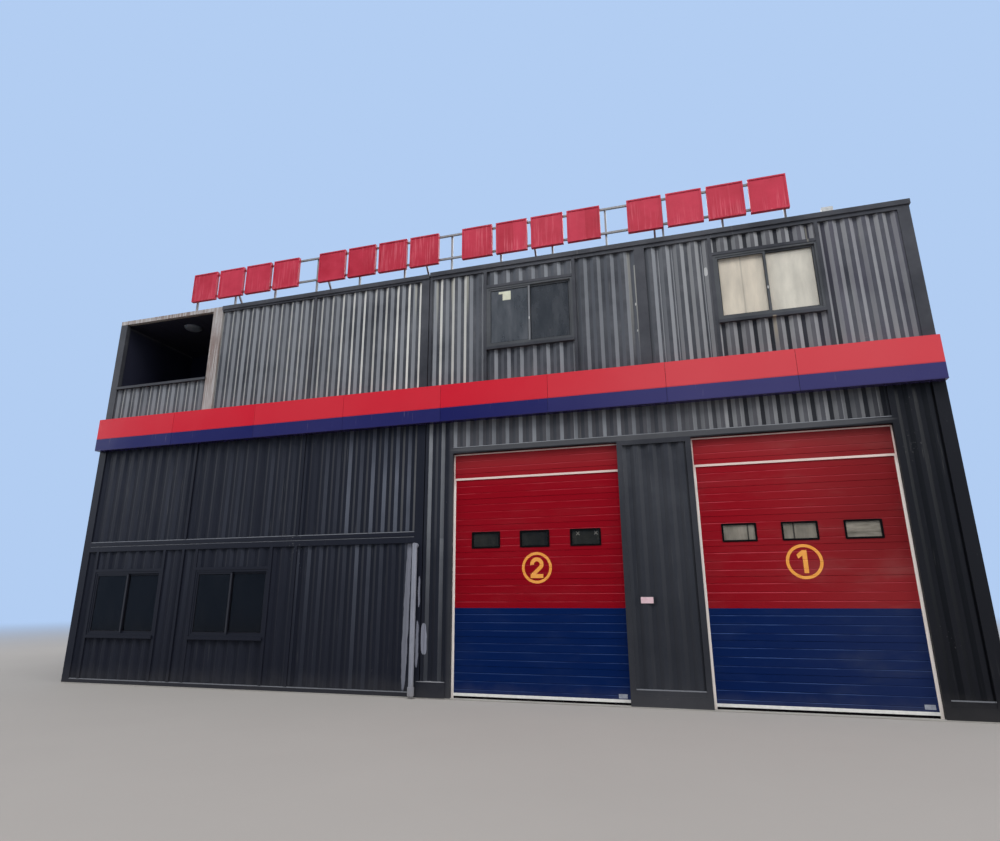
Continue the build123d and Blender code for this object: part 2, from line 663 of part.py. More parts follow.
def loggia():
    """Open corner of the top storey: post, beam, apron, inner walls and a round ceiling lamp."""
    beam_base = ROOM_PARAPET - LOGGIA_BEAM
    joint = MODULE_JOINTS[0]
    opening = (WEST + CORNER_POST, joint)
    floor = UPPER_FLOOR + UPPER_RAIL
    sill = UPPER_FLOOR + APRON_HEIGHT
    apron = (floor, sill - WINDOW_RAIL)
    add("loggia_post", full_depth((joint, joint + LOGGIA_POST_WIDTH), (floor, beam_base)))
    add("loggia_beam", full_depth((WEST, joint + LOGGIA_POST_WIDTH), (beam_base, ROOM_PARAPET)))
    add("room_sheets", folded_sheet(opening, apron, ROOM_FOLD))
    add("front_lining", lining(opening, apron))
    add("window_rails", block(opening, (SOUTH - SILL_PROJECTION, SOUTH + WALL), (sill - WINDOW_RAIL, sill)))

    inside = SOUTH + WALL
    back = SOUTH + LOGGIA_DEPTH
    ceiling = ROOF_TOP - ROOF_THICKNESS
    height = (UPPER_FLOOR, ceiling)
    add("loggia_back_wall", block((WEST + WALL, joint), (back, back + LOGGIA_WALL), height))
    add("loggia_side_wall", block((joint, joint + LOGGIA_WALL), (inside, back + LOGGIA_WALL), height))
    lamp_place = Pos(joint - LAMP_FROM_POST, SOUTH + LAMP_FROM_FRONT, ceiling - LAMP_HEIGHT / 2)
    add("ceiling_lamp", lamp_place * Cylinder(LAMP_DIAMETER / 2, LAMP_HEIGHT))


def sign_rails():
    """The two long tubes that carry the sign boxes."""
    half = SIGN_TUBE / 2
    reach = SIGN_BAYS * SIGN_POST_PITCH / 2 + half
    x = (SIGN_CENTRE - reach, SIGN_CENTRE + reach)
    y = (SOUTH + SIGN_SETBACK, SOUTH + SIGN_SETBACK + SIGN_TUBE)
    heights = (PARAPET + SIGN_LOWER_RAIL, PARAPET + SIGN_UPPER_RAIL)
    return [block(x, y, (height - half, height + half)) for height in heights]


def sign_posts():
    """Tubes that stand on the roof edge behind the rails."""
    half = SIGN_TUBE / 2
    y = (SOUTH + SIGN_SETBACK + SIGN_TUBE, SOUTH + SIGN_SETBACK + 2 * SIGN_TUBE)
    posts = []
    for k in range(SIGN_BAYS + 1):
        x = SIGN_CENTRE + (k - SIGN_BAYS / 2) * SIGN_POST_PITCH
        foot = ROOM_PARAPET if x < ROOM_EAST else PARAPET
        posts.append(block((x - half, x + half), y, (foot, PARAPET + SIGN_UPPER_RAIL + half)))
    return posts


def sign_braces():
    """Slanting props from the upper rail back to the roof decks."""
    start = SOUTH + SIGN_SETBACK + SIGN_TUBE
    high = PARAPET + SIGN_UPPER_RAIL
    rise = SIGN_TUBE * 1.5
    outline = [
        (start, high),
        (start + BRACE_SPREAD + SIGN_TUBE, ROOF_TOP),
        (start + BRACE_SPREAD, ROOF_TOP),
        (start, high - rise),
    ]
    first = SIGN_CENTRE - SIGN_BAYS * SIGN_POST_PITCH / 2 + BRACE_FIRST
    half = SIGN_TUBE / 2
    places = [first + k * BRACE_PITCH for k in range(BRACE_COUNT)]
    return [profile_along_x(outline, (x - half, x + half)) for x in places]


def sign_boxes():
    """Rows of blank tray boxes on the front of the sign frame."""
    boxes = []
    front = SOUTH + SIGN_SETBACK - BOX_DEPTH
    middle = PARAPET + BOX_ABOVE_PARAPET + BOX_HEIGHT / 2
    span = (SIGN_GROUPS - 1) * GROUP_PITCH + (BOXES_IN_GROUP - 1) * BOX_PITCH
    for group in range(SIGN_GROUPS):
        for k in range(BOXES_IN_GROUP):
            x = SIGN_CENTRE - span / 2 + group * GROUP_PITCH + k * BOX_PITCH
            tray = upright_plate((x, middle), (BOX_WIDTH, BOX_HEIGHT), (front, front + BOX_DEPTH))
            recess = (BOX_WIDTH - 2 * BOX_RIM, BOX_HEIGHT - 2 * BOX_RIM)
            boxes.append(tray - upright_plate((x, middle), recess, (front, front + BOX_RECESS)))
    return boxes


def blind():
    """Closed blind that hangs in the frame of the right-hand upper window, behind its sashes."""
    inner = WINDOW_WIDTH / 2 - FRAME_WIDTH
    sill = UPPER_FLOOR + UPPER_SILL
    centre = BAY_CENTRES[1]
    front = SOUTH + FRAME_SETBACK + FRAME_DEPTH / 2 + SASH_GAP / 2 + SASH_DEPTH + BLIND_GAP
    z = (sill + FRAME_WIDTH, sill + WINDOW_HEIGHT - FRAME_WIDTH)
    return block((centre - inner, centre + inner), (front, front + BLIND), z)


def downpipe():
    """Rainwater pipe that turns out of the wall under the storey rail, with a collar near its foot."""
    radius = PIPE_DIAMETER / 2
    x = ROOM_EAST - PIPE_FROM_SEAM
    y = SOUTH - PIPE_WALL_GAP - radius
    top = LOWER_RAIL_BASES[0] - PIPE_BELOW_RAIL - radius
    route = Polyline((x, y, PIPE_FOOT), (x, y, top), (x, SOUTH, top))
    pipe = sweep(Plane((x, y, PIPE_FOOT)) * Circle(radius), path=route, transition=Transition.RIGHT)
    return pipe + Pos(x, y, COLLAR_BASE + COLLAR_HEIGHT / 2) * Cylinder(radius + COLLAR_PROUD, COLLAR_HEIGHT)


def write_parts():
    """Build every piece and write one file for each node."""
    front_and_back_walls()
    posts()
    rails()
    side_walls()
    seams()
    bay_front()
    door(1, BAY_1, trim_on_right=True)
    door(2, BAY_2, trim_on_right=False)
    fascia()
    floors_and_roof()
    loggia()
    add("sign_frame", *sign_rails())
    add("sign_posts", *sign_posts())
    add("sign_braces", *sign_braces())
    add("sign_boxes", *sign_boxes())
    add("window_blind", blind())
    add("downpipe", downpipe())
    os.makedirs("parts", exist_ok=True)
    for node, solids in NODES.items():
        pieces = [solid for piece in solids for solid in piece.solids()]
        export_step(Compound(children=pieces) if len(pieces) > 1 else pieces[0], f"parts/{node}.step")


write_parts()
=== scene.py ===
# %% [markdown]
# # A fire station of stacked steel modules
#
# The building is a row of painted steel boxes with folded sheet walls, two tall engine bays, a red and
# blue band across the front and a steel frame with blank sign trays on the roof edge. Its solids come
# packed from the CAD side and stay where they are. This lesson lights them, paints them and adds the
# small thin things that aren't worth a solid: painted bay numbers, rubber beads, latches and labels.

# %% Load the solids as a fixed frame
import json
import math
from collections import namedtuple

import bmesh
import bpy
import numpy as np
from mathutils import Matrix, Vector


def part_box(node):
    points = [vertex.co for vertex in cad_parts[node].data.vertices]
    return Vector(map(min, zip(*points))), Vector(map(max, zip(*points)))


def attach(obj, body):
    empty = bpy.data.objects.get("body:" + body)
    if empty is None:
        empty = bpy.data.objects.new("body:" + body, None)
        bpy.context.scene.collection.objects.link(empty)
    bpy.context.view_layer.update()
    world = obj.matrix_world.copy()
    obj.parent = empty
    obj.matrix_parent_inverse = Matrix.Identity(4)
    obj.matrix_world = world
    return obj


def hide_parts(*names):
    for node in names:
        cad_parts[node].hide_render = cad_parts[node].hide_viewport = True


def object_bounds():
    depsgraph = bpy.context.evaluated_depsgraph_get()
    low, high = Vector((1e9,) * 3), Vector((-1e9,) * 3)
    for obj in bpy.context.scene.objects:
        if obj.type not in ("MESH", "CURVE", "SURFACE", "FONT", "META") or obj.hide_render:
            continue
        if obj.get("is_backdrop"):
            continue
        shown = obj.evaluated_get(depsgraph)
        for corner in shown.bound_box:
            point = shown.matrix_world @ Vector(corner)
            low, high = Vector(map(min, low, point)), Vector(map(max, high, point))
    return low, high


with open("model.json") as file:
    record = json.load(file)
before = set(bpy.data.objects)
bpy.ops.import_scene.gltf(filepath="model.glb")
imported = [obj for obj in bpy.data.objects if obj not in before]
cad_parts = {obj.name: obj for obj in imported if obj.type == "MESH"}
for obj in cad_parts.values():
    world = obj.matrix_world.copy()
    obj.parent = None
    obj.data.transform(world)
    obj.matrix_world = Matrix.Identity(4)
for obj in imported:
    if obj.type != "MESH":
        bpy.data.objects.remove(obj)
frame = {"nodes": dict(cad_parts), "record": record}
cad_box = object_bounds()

nodes = frame["nodes"]
print(len(nodes), "solids' nodes, from", tuple(cad_box[0]), "to", tuple(cad_box[1]))

# %% [markdown]
# ## Where things are
#
# Most places below are read from the solids, and a few levels are shared. The front wall's face stands
# at one depth, and the doors stand a wall's thickness behind it. A piece that follows a door needs the
# rhythm of its pressed grooves: a section joint every 0.52 m, and three ribs in each section.

# %% Levels and faces
WALL_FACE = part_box("storey_rails")[0].y
DOOR_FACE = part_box("door_1_lower")[0].y
DOOR_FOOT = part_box("door_1_lower")[0].z
CREST_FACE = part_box("bay_sheets")[0].y
RAIL_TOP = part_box("roof_edge_rails")[1].z
SECTION = 0.52
RIB_PLACES = (0.115, 0.26, 0.405)
BAY_CENTRES = {1: 6.54, 2: 1.89}
BLOCK_JOINT = (-0.40, -0.34)  # x across the joint of the room block and the bay block
# below these heights the lower walls get painted shade
BEHIND_BAND = (5.2, 5.9)  # heights at which the sheltered walls end and the top storey begins
LINTEL_LEFT, LINTEL_RIGHT = (0.20, 0.24), (8.14, 8.18)  # x across the ends of the sheets over the doors
LINTEL_TOP = (5.3, 5.6)
PIER_LEFT = (3.3, 3.6)  # x across the left edge of the pier between the doors
print("wall face", WALL_FACE, "door face", DOOR_FACE, "door foot", DOOR_FOOT)

# %% [markdown]
# ## The camera
#
# The viewer stands close, below and to the right of the middle, and looks up and a little left with a
# wide lens, so the uprights lean inwards. The camera's three axes are worked out from its turn to the
# left, its tilt up and a slight roll.

# %% Camera
def camera_axes(turn, tilt, roll):
    """Right, up and backward axes for a turn about Z, a tilt above the horizon and a roll, in degrees."""
    turn, tilt, roll = (math.radians(angle) for angle in (turn, tilt, roll))
    ahead = Vector((math.sin(turn) * math.cos(tilt), math.cos(turn) * math.cos(tilt), math.sin(tilt)))
    level = Vector((math.cos(turn), -math.sin(turn), 0))
    above = level.cross(ahead)
    right = math.cos(roll) * level + math.sin(roll) * above
    up = -math.sin(roll) * level + math.cos(roll) * above
    return right, up, -ahead


EYE = (4.624, -17.696, 1.907)
lens = bpy.data.cameras.new("street_view")
lens.lens, lens.sensor_width = 22.28, 36.0
lens.clip_start, lens.clip_end = 0.1, 1000.0
camera = bpy.data.objects.new("street_view", lens)
bpy.context.scene.collection.objects.link(camera)
axes = camera_axes(turn=-16.24, tilt=15.50, roll=-0.34)
camera.matrix_world = Matrix.Translation(EYE) @ Matrix(axes).transposed().to_4x4()
bpy.context.scene.camera = camera
print("camera at", tuple(camera.location))

# %% [markdown]
# ## Small tools for shader trees
#
# A finish is a tree of nodes. What a node puts out is kept here as a value that can be added, multiplied
# and so on, and each sign adds one maths node. So a recipe reads as its formula. Colours are given as
# they look on a screen, from 0 to 255, and are turned into the linear light that the shaders work in.

# %% Values and nodes
def paint(red, green, blue):
    """A screen colour as linear light: below 10 a straight line, above it a power of 2.4."""
    screen = np.array([red, green, blue]) / 255
    linear = np.where(screen <= 0.04045, screen / 12.92, ((screen + 0.055) / 1.055) ** 2.4)
    return (*linear.tolist(), 1.0)


class Value:
    """One output of a node, with the signs of arithmetic."""

    def __init__(self, socket):
        self.socket, self.tree = socket, socket.id_data

    def __add__(self, other):
        return maths("ADD", self, other)

    def __sub__(self, other):
        return maths("SUBTRACT", self, other)

    def __rsub__(self, other):
        return maths("SUBTRACT", other, self)

    def __mul__(self, other):
        return maths("MULTIPLY", self, other)

    def __truediv__(self, other):
        return maths("DIVIDE", self, other)

    def __rtruediv__(self, other):
        return maths("DIVIDE", other, self)

    def __abs__(self):
        return maths("ABSOLUTE", self)

    __radd__, __rmul__ = __add__, __mul__


def add_node(kind, inputs, out=0, tree=None, **options):
    """Add a node beside what feeds it, give its inputs numbers or values, and return one of its outputs."""
    if tree is None:
        tree = next(value.tree for value in inputs.values() if isinstance(value, Value))
    made = tree.nodes.new(kind)
    for name, value in options.items():
        setattr(made, name, value)
    for name, value in inputs.items():
        if isinstance(value, Value):
            tree.links.new(value.socket, made.inputs[name])
        else:
            made.inputs[name].default_value = value
    return Value(made.outputs[out])


def maths(operation, *values, clamp=False):
    """One step of arithmetic on values and numbers."""
    return add_node("ShaderNodeMath", dict(enumerate(values)), operation=operation, use_clamp=clamp)


def vector_maths(operation, *values):
    """One step of arithmetic on places."""
    return add_node("ShaderNodeVectorMath", dict(enumerate(values)), operation=operation)


print("values and nodes ready")

# %% Steps that recipes share
Axes = namedtuple("Axes", "x y z")


def split(place):
    """The three parts of a place or of a normal."""
    parts = add_node("ShaderNodeSeparateXYZ", {0: place}).socket.node.outputs
    return Axes(*(Value(part) for part in parts))


def between(value, low, high, start=0.0, end=1.0, way="SMOOTHSTEP"):
    """Rise smoothly from start to end while the value goes from low to high."""
    return add_node("ShaderNodeMapRange", {0: value, 1: low, 2: high, 3: start, 4: end},
                    interpolation_type=way)


def falling(value, low, high):
    """Fall smoothly from 1 to 0 while the value goes from low to high."""
    return between(value, low, high, 1.0, 0.0)


def steps_along(value, *steps):
    """Multiply rises and falls along one coordinate; each step is (low, high, start, end)."""
    product = 1.0
    for step in steps:
        product = product * between(value, *step)
    return product


def largest(first, *others):
    """The largest of several values."""
    for other in others:
        first = maths("MAXIMUM", first, other)
    return first


def blend(share, first, second, way="MIX"):
    """Lay the second colour over the first by a share from 0 to 1; a colour is a value or a screen colour."""
    first, second = (paint(*tone) if isinstance(tone, tuple) else tone for tone in (first, second))
    return add_node("ShaderNodeMix", {0: share, 6: first, 7: second}, 2, data_type="RGBA", blend_type=way)


def scaled(place, sizes):
    """Divide a place by a size along each axis, so that a pattern is stretched to those sizes."""
    return vector_maths("MULTIPLY", place, tuple(1 / size for size in sizes))


def noise(place, scale=1.0, detail=3.0, roughness=0.5, out=0):
    """Cloudy values around one half."""
    return add_node("ShaderNodeTexNoise", {"Vector": place, "Scale": scale, "Detail": detail,
                                           "Roughness": roughness}, out)


def own_tone(number):
    """A tone from 0 to 1 that belongs to a whole number."""
    return add_node("ShaderNodeTexWhiteNoise", {"W": number}, noise_dimensions="1D")


print("shared steps ready")

# %% [markdown]
# ## Effects that several finishes share
#
# Weather leaves the same few marks on all of this building: paint that has gone cloudy, streaks where
# rain has run, dust thrown up from the pavement, small chips, stains below a ledge, and places that
# someone has painted over. Each is a node group, built once, that puts out a mask from 0 to 1. A painted
# place is a rounded block: the higher its power n, the squarer its corners, and a ripple frays its edge.

# %% Node groups
ORIGIN = (0.0, 0.0, 0.0)
NO_RIPPLE = (0.5, 0.5, 0.5)


def start_group(name, inputs, output="Mask"):
    """An empty group whose inputs have a name and a first value; returns it with what its inputs give."""
    group = bpy.data.node_groups.new(name, "ShaderNodeTree")
    for label, value in inputs.items():
        kind = "NodeSocketVector" if isinstance(value, tuple) else "NodeSocketFloat"
        group.interface.new_socket(name=label, in_out="INPUT", socket_type=kind).default_value = value
    group.interface.new_socket(name=output, in_out="OUTPUT", socket_type="NodeSocketFloat")
    return group, [Value(socket) for socket in group.nodes.new("NodeGroupInput").outputs][:len(inputs)]


def end_group(group, mask, effect):
    """Send the mask out, and return a function that places the group, its inputs in their first order."""
    group.links.new(mask.socket, group.nodes.new("NodeGroupOutput").inputs[0])
    print("group", group.name, effect)
    return lambda *values: add_node("ShaderNodeGroup", dict(enumerate(values)), node_tree=group)


# %% Cloudy tone
group, (place, scale, contrast) = start_group(
    "cloudy_tone", {"Place": ORIGIN, "Scale": 1.0, "Contrast": 1.0}, "Tone")
spread = (noise(place, scale, 5.0, 0.6) - 0.5) * contrast
cloudy_tone = end_group(group, maths("ADD", spread, 0.5, clamp=True), "varies a tone around one half")

# %% Rain streaks
group, (place, width, share) = start_group(
    "rain_streaks", {"Place": ORIGIN, "Width": 0.05, "Share": 0.4})
streaks = noise(vector_maths("MULTIPLY", place, (1.0, 1.0, 0.035)), 1.0 / width, 3.0, 0.65)
threshold = 0.80 - share * 0.5
breaks = between(noise(place, 0.7), 0.35, 0.62)
lines = between(streaks, threshold, threshold + 0.16) * breaks
rain_streaks = end_group(group, lines, "draws broken upright lines")

# %% Dust thrown up near the ground
group, (place, reach) = start_group("ground_splash", {"Place": ORIGIN, "Reach": 0.6})
uneven = split(place).z / reach + noise(place, 3.0, 5.0, 0.6) * 0.9
ground_splash = end_group(group, falling(uneven, 0.35, 1.35), "fades out above the ground")

# %% Chips and scuffs
group, (place, size, share) = start_group("small_chips", {"Place": ORIGIN, "Size": 0.05, "Share": 0.2})
spots = noise(place, 1.0 / size, 4.0, 0.62) + (noise(place, 0.9, 2.0) - 0.5) * 0.5
limit = 0.86 - share * 0.4
sharp = between(spots, limit, limit + 0.03, way="LINEAR")
small_chips = end_group(group, sharp, "scatters small sharp spots")

# %% Stain below a ledge
group, (place, centre, half_width, top, length) = start_group(
    "drip_stain", {"Place": ORIGIN, "Centre": 0.0, "Half width": 0.1, "Top": 1.0, "Length": 1.0})
at = split(place)
wander = noise(vector_maths("MULTIPLY", place, (22.0, 22.0, 1.6)), 1.0, 3.0, 0.6)
ragged = abs(at.x - centre) / half_width * (0.55 + wander)
fallen = (top - at.z) / length
along = falling(fallen, 0.25, 1.0) * between(fallen, -0.01, 0.0)
drip_stain = end_group(group, falling(ragged, 0.45, 1.05) * along, "fades downwards from a level")

# %% Place that was painted over
group, (place, ripple, centre, half_size, wobble, power) = start_group(
    "painted_patch", {"Place": ORIGIN, "Ripple": NO_RIPPLE, "Centre": ORIGIN, "Half size": (1.0, 1.0, 1.0),
                      "Wobble": 0.0, "Power": 3.0})
shift = vector_maths("SUBTRACT", ripple, NO_RIPPLE)
moved = add_node("ShaderNodeVectorMath", {0: shift, "Scale": wobble}, operation="SCALE")
offset = vector_maths("SUBTRACT", vector_maths("ADD", place, moved), centre)
ways = split(vector_maths("ABSOLUTE", vector_maths("DIVIDE", offset, half_size)))
x, y, z = (maths("POWER", way, power) for way in ways)
painted_patch = end_group(group, falling(x + y + z, 0.92, 1.08),
                          "marks where (x/a)^n + (y/b)^n + (z/c)^n stays under 1")

# %% [markdown]
# ## Starting and closing a material
#
# Every finish below ends in one Principled shader that reads the object coordinates, which are metres
# here. A bump goes in last, and its height is in metres too, so that a grain keeps its real depth.

# %% Helpers for materials
MATERIALS = {}


def start_material(name, **fixed):
    """A material with values that are the same all over; returns its shader and its place in metres."""
    material = MATERIALS[name] = bpy.data.materials.new(name)
    material.use_nodes = True
    tree = material.node_tree
    shader = tree.nodes["Principled BSDF"]
    for label, value in fixed.items():
        shader.inputs[label.replace("_", " ")].default_value = value
    return shader, add_node("ShaderNodeTexCoord", {}, "Object", tree)


def close_material(shader, colour, roughness=None, height=None, depth=0.001, alpha=None):
    """Link what varies over the surface; depth is how far the height reaches, in metres."""
    varied = {"Base Color": colour, "Roughness": roughness, "Alpha": alpha}
    if height is not None:
        varied["Normal"] = add_node("ShaderNodeBump", {"Height": height, "Distance": depth, "Strength": 1.0})
    for label, value in varied.items():
        if value is not None:
            value.tree.links.new(value.socket, shader.inputs[label])


def facing(place):
    """The parts of the surface's normal."""
    return split(add_node("ShaderNodeTexCoord", {}, "Normal", place.tree))


def clouded(name, cloud, tones, rough, grain, share=1.0, chips=None, depth=0.0003, **fixed):
    """A small finish: two tones in clouds, rougher where the second one lies, chipped where that is asked.

    The cloud is (scale, contrast), rough is (least, gain), the share limits the second tone, the grain is
    the scale of a bump whose depth is in metres, and chips are (size, share, strength, tone).
    """
    shader, place = start_material(name, **fixed)
    tone = cloudy_tone(place, *cloud)
    colour = blend(tone * share, *tones)
    if chips is not None:
        size, amount, strength, wear_and_highlight = chips
        colour = blend(small_chips(place, size, amount) * strength, colour, wear_and_highlight)
    close_material(shader, colour, rough[0] + tone * rough[1], noise(place, grain, 2.0), depth)


print("material helpers ready")

# %% [markdown]
# ## Weathered grey paint
#
# Posts, rails, folded sheets and window metal all wear the same dark grey paint. It is painted paler high up,
# partly as chalk and partly as painted sky light, and darker below the band as painted shade. The slopes of
# the folds are painted lighter than the flats, as the highlights that they catch, most of all high up, so the
# sheets read as a row of stripes. A slope is found by its normal: it is the only upright face that is turned
# part way between two axes.

# %% Recipe for weathered paint
def on_front(at, elsewhere=0.0):
    """1 on the street front, and a chosen lesser share on the other walls."""
    return between(at.y, -5.95, -5.85, 1.0, elsewhere)


def painted_shade_below_band(place, colour):
    """Painted shade below the band: blue-black on the room block, nearly black at the right end."""
    at = split(place)
    low = falling(at.z, *BEHIND_BAND) * on_front(at, 0.3)
    rooms = between(at.x, *BLOCK_JOINT, 0.20, 0.0) + between(at.x, 0.14, 0.20, 0.75, 0.0)
    colour = blend(low * rooms, colour, (22, 24, 34))
    return blend(low * between(at.x, 7.2, 8.3, 0.0, 0.94), colour, (20, 20, 24))


def weathered_paint(name, base, chalk_and_light, streak, roughness, width, share, paling, under=None, over=None):
    """Dark paint that pales with height, partly as chalk and partly as painted sky light, with painted shade
    below the band; it is streaked by rain, splashed at the foot and chipped.

    Width and share are those of the streaks, and paling is how much the pale tone depends on height. Two
    layers may be added: one under the rain's streaks and one over everything.
    """
    shader, place = start_material(name, Specular_IOR_Level=0.12)
    up = between(split(place).z, 1.5, 8.6)
    # The paler tone grows with height: partly chalk, partly painted sky light on the upper storeys.
    chalk_and_light_share = (1.0 - paling + up * paling) * cloudy_tone(place, 0.9, 2.2)
    colour = blend(chalk_and_light_share, base, chalk_and_light)
    colour = blend(cloudy_tone(place, 14.0, 1.6) * 0.22, colour, base)
    # painted shade below the band
    colour = painted_shade_below_band(place, colour)
    if under is not None:
        colour = under(place, colour)
    run = rain_streaks(place, width, share)
    colour = blend(run * (0.10 + up * 0.35), colour, streak)
    splash = ground_splash(place, 0.55)
    colour = blend(splash * 0.15, colour, (100, 97, 94))
    colour = blend(small_chips(place, 0.035, 0.20) * 0.45, colour, (140, 139, 138))
    if over is not None:
        colour = over(place, colour)
    close_material(shader, colour, roughness + (splash + run) * 0.16, noise(place, 160.0, 3.0, 0.6), 0.0004)


print("recipe for weathered paint ready")

# %% [markdown]
# The painted highlights on the slopes have their own order along the front. Right-hand slopes are painted
# evenly light. Left-hand slopes are painted almost white near the joint of the two blocks, as sunlight, stay
# dark over the left bay, and are pale again over the right bay. Below the band both get less, and on the
# pier, at the right end and on the room block they get painted shade. The flats are painted lighter over
# the doors; round the right bay raised flats are painted light and sunk ones nearly black as shade. The
# other walls have an even painted highlight on their slopes that grows with height.

# %% Painted highlights on the slopes
HALF_FOLD = 0.139
FOLDS_PART = (-0.371, -0.369)  # x across the place where the two blocks' folds part
FIRST_SLOPES = (-0.807, -0.302)  # x where a slope's stretch begins, on the room block and on the bay block
STOREY = 2.94


def slope_highlight_tones(at, normal, front, to_right):
    """The painted highlight's colour on right-hand slopes, and on slopes of either hand."""
    rooms = falling(at.z, *BEHIND_BAND) * falling(at.x, *BLOCK_JOINT)
    rightward = blend(to_right, (124, 127, 132), (141, 142, 144))
    rightward = blend(rooms, rightward, (104, 109, 121))
    dull = blend(between(at.z, 5.3, 5.9), (60, 62, 68), (82, 85, 91))
    dull = blend(to_right, dull, (134, 135, 137))
    near_joint = steps_along(at.x, (0.62, 0.72, 1.0, 0.0), (-5.0, -0.8, 0.35, 1.0))
    lower = steps_along(at.x, (-2.0, -1.2, 0.0, 0.14), (*BLOCK_JOINT, 1.0, 0.0))
    paling = largest(near_joint * between(at.z, 5.9, 6.1), lower * between(at.z, 2.9, 3.1))
    leftward = blend(paling, dull, (206, 205, 200))
    either = blend(between(normal.x, -0.1, 0.1), leftward, rightward)
    return blend(front, rightward, either)


def own_slope_highlight(at):
    """More or less painted highlight from slope to slope, by a tone of the slope's number, two slopes to a
    fold.

    The folds of the two blocks start at different places, and each storey is a sheet of its own. The lower
    storeys of the rooms are the most uneven, and keep little painted highlight under the band.
    """
    slope = maths("FLOOR", (at.x - between(at.x, *FOLDS_PART, *FIRST_SLOPES)) / HALF_FOLD)
    own = own_tone(slope + maths("FLOOR", at.z / STOREY) * 137.0)
    low_rooms = falling(at.x, *FOLDS_PART) * falling(at.z, *BEHIND_BAND)
    most_uneven = between(at.z, 4.0, 5.2, 1.0, 0.5) * (0.15 + own * 1.25)
    return largest(low_rooms * most_uneven, (1.0 - low_rooms) * (0.68 + own * 0.56))


def painted_light_on_flats(at, colour, flat, over_doors):
    """Painted light and shade on the flats: paler over the doors; round the right bay raised ones pale, sunk
    ones nearly black.
    """
    colour = blend(over_doors * between(at.x, 6.0, 8.2, 0.36, 0.05) * flat, colour, (98, 96, 99))
    sunk = between(at.y, WALL_FACE + 0.046, WALL_FACE + 0.056)
    high = between(at.z, 5.6, 5.7)
    far_up = high * between(at.x, 7.6, 7.9)
    reach = largest(over_doors, high) * between(at.x, 4.9, 6.0) * flat * (1.0 - far_up)
    colour = blend(reach * (sunk * 0.72), colour, (24, 24, 27))
    raised = (1.0 - sunk) * between(at.z, *LINTEL_TOP, 0.12, 0.42)
    return blend(reach * raised, colour, (104, 103, 106))


def painted_slope_highlights(place, colour):
    """Paint highlights over the slopes of the folds, and painted light and shade on the flats between them.
    """
    normal, at = facing(place), split(place)
    slope = between(maths("MINIMUM", abs(normal.x), abs(normal.y)), 0.2, 0.4)
    front = on_front(at)
    to_right = between(at.x, 4.2, 5.6)
    above = between(at.z, 5.3, 5.8)

    right_end = between(at.x, *LINTEL_RIGHT) * falling(at.z, 5.5, 5.7)
    beside = largest(falling(at.z, 4.5, 4.8), right_end) * front
    left_strip = steps_along(at.x, (*BLOCK_JOINT, 0.0, 1.0), (0.18, 0.26, 0.1, 0.0))
    by_doors = beside * (left_strip + between(at.x, *PIER_LEFT, 0.0, 0.92))
    over_doors = steps_along(at.z, (4.75, 4.79, 0.0, 1.0), (*LINTEL_TOP, 1.0, 0.0)) * steps_along(
        at.x, (*LINTEL_LEFT, 0.0, 1.0), (*LINTEL_RIGHT, 1.0, 0.0)) * front
    over_pier = over_doors * steps_along(at.x, (3.5, 4.2, 0.0, 0.55), (4.6, 5.4, 1.0, 0.0))
    over_right = over_doors * between(at.x, 6.4, 8.2, 0.0, 0.6)
    kept = steps_along(at.x, (*BLOCK_JOINT, 0.7, 1.0), (-4.0, -1.5, 0.25, 1.0), (3.9, 6.5, 1.0, 0.72))
    kept = kept * (1.0 - by_doors) * (1.0 - over_pier) * (1.0 - over_right)

    on_street = largest(kept, above) * own_slope_highlight(at) * between(at.z, 0.4, 4.9, 0.16, 1.0)
    elsewhere = between(at.z, 0.3, 8.6, 0.15, 0.75)
    mottled = maths("ADD", 0.72, cloudy_tone(place, 0.9, 2.2) * 0.5, clamp=True)
    share = slope * (on_street * front + elsewhere * (1.0 - front)) * mottled
    # Painted light and shade on the flats between the slopes.
    colour = painted_light_on_flats(at, colour, (1.0 - slope) * front, over_doors)
    # Painted highlights: the slopes take lighter tones as the light that they catch.
    colour = blend(share, colour, slope_highlight_tones(at, normal, front, to_right))

    # Painted shade on the slopes low down from the pier rightwards, nearly black at the right end.
    dark = blend(between(at.x, 7.9, 8.3), (42, 43, 48), (9, 10, 14))
    unlit = beside * steps_along(at.x, (*PIER_LEFT, 0.0, 0.35), (7.9, 8.3, 1.0, 2.4))
    colour = blend(slope * unlit, colour, dark)
    patches = cloudy_tone(scaled(place, (0.16, 1.0, 2.2)), 1.0, 3.0)
    return blend(patches * between(at.x, 6.6, 7.6, 0.0, 0.40) * above, colour, (80, 76, 92))


print("slopes come every", HALF_FOLD, "m")

# %% [markdown]
# Some marks have a place of their own: pale runs from the eaves beside the joint of the two blocks, one
# by the middle post, a brown one under the right window, small pale scuffs, and light patches beside the
# downpipe. One of those is a slanted strip, so its place is sheared first. Others are painted light and
# shade: highlights along three fold edges, the top of the skirting and the head beams' top edges, light over
# the head beam, and a shadow line under each head beam.

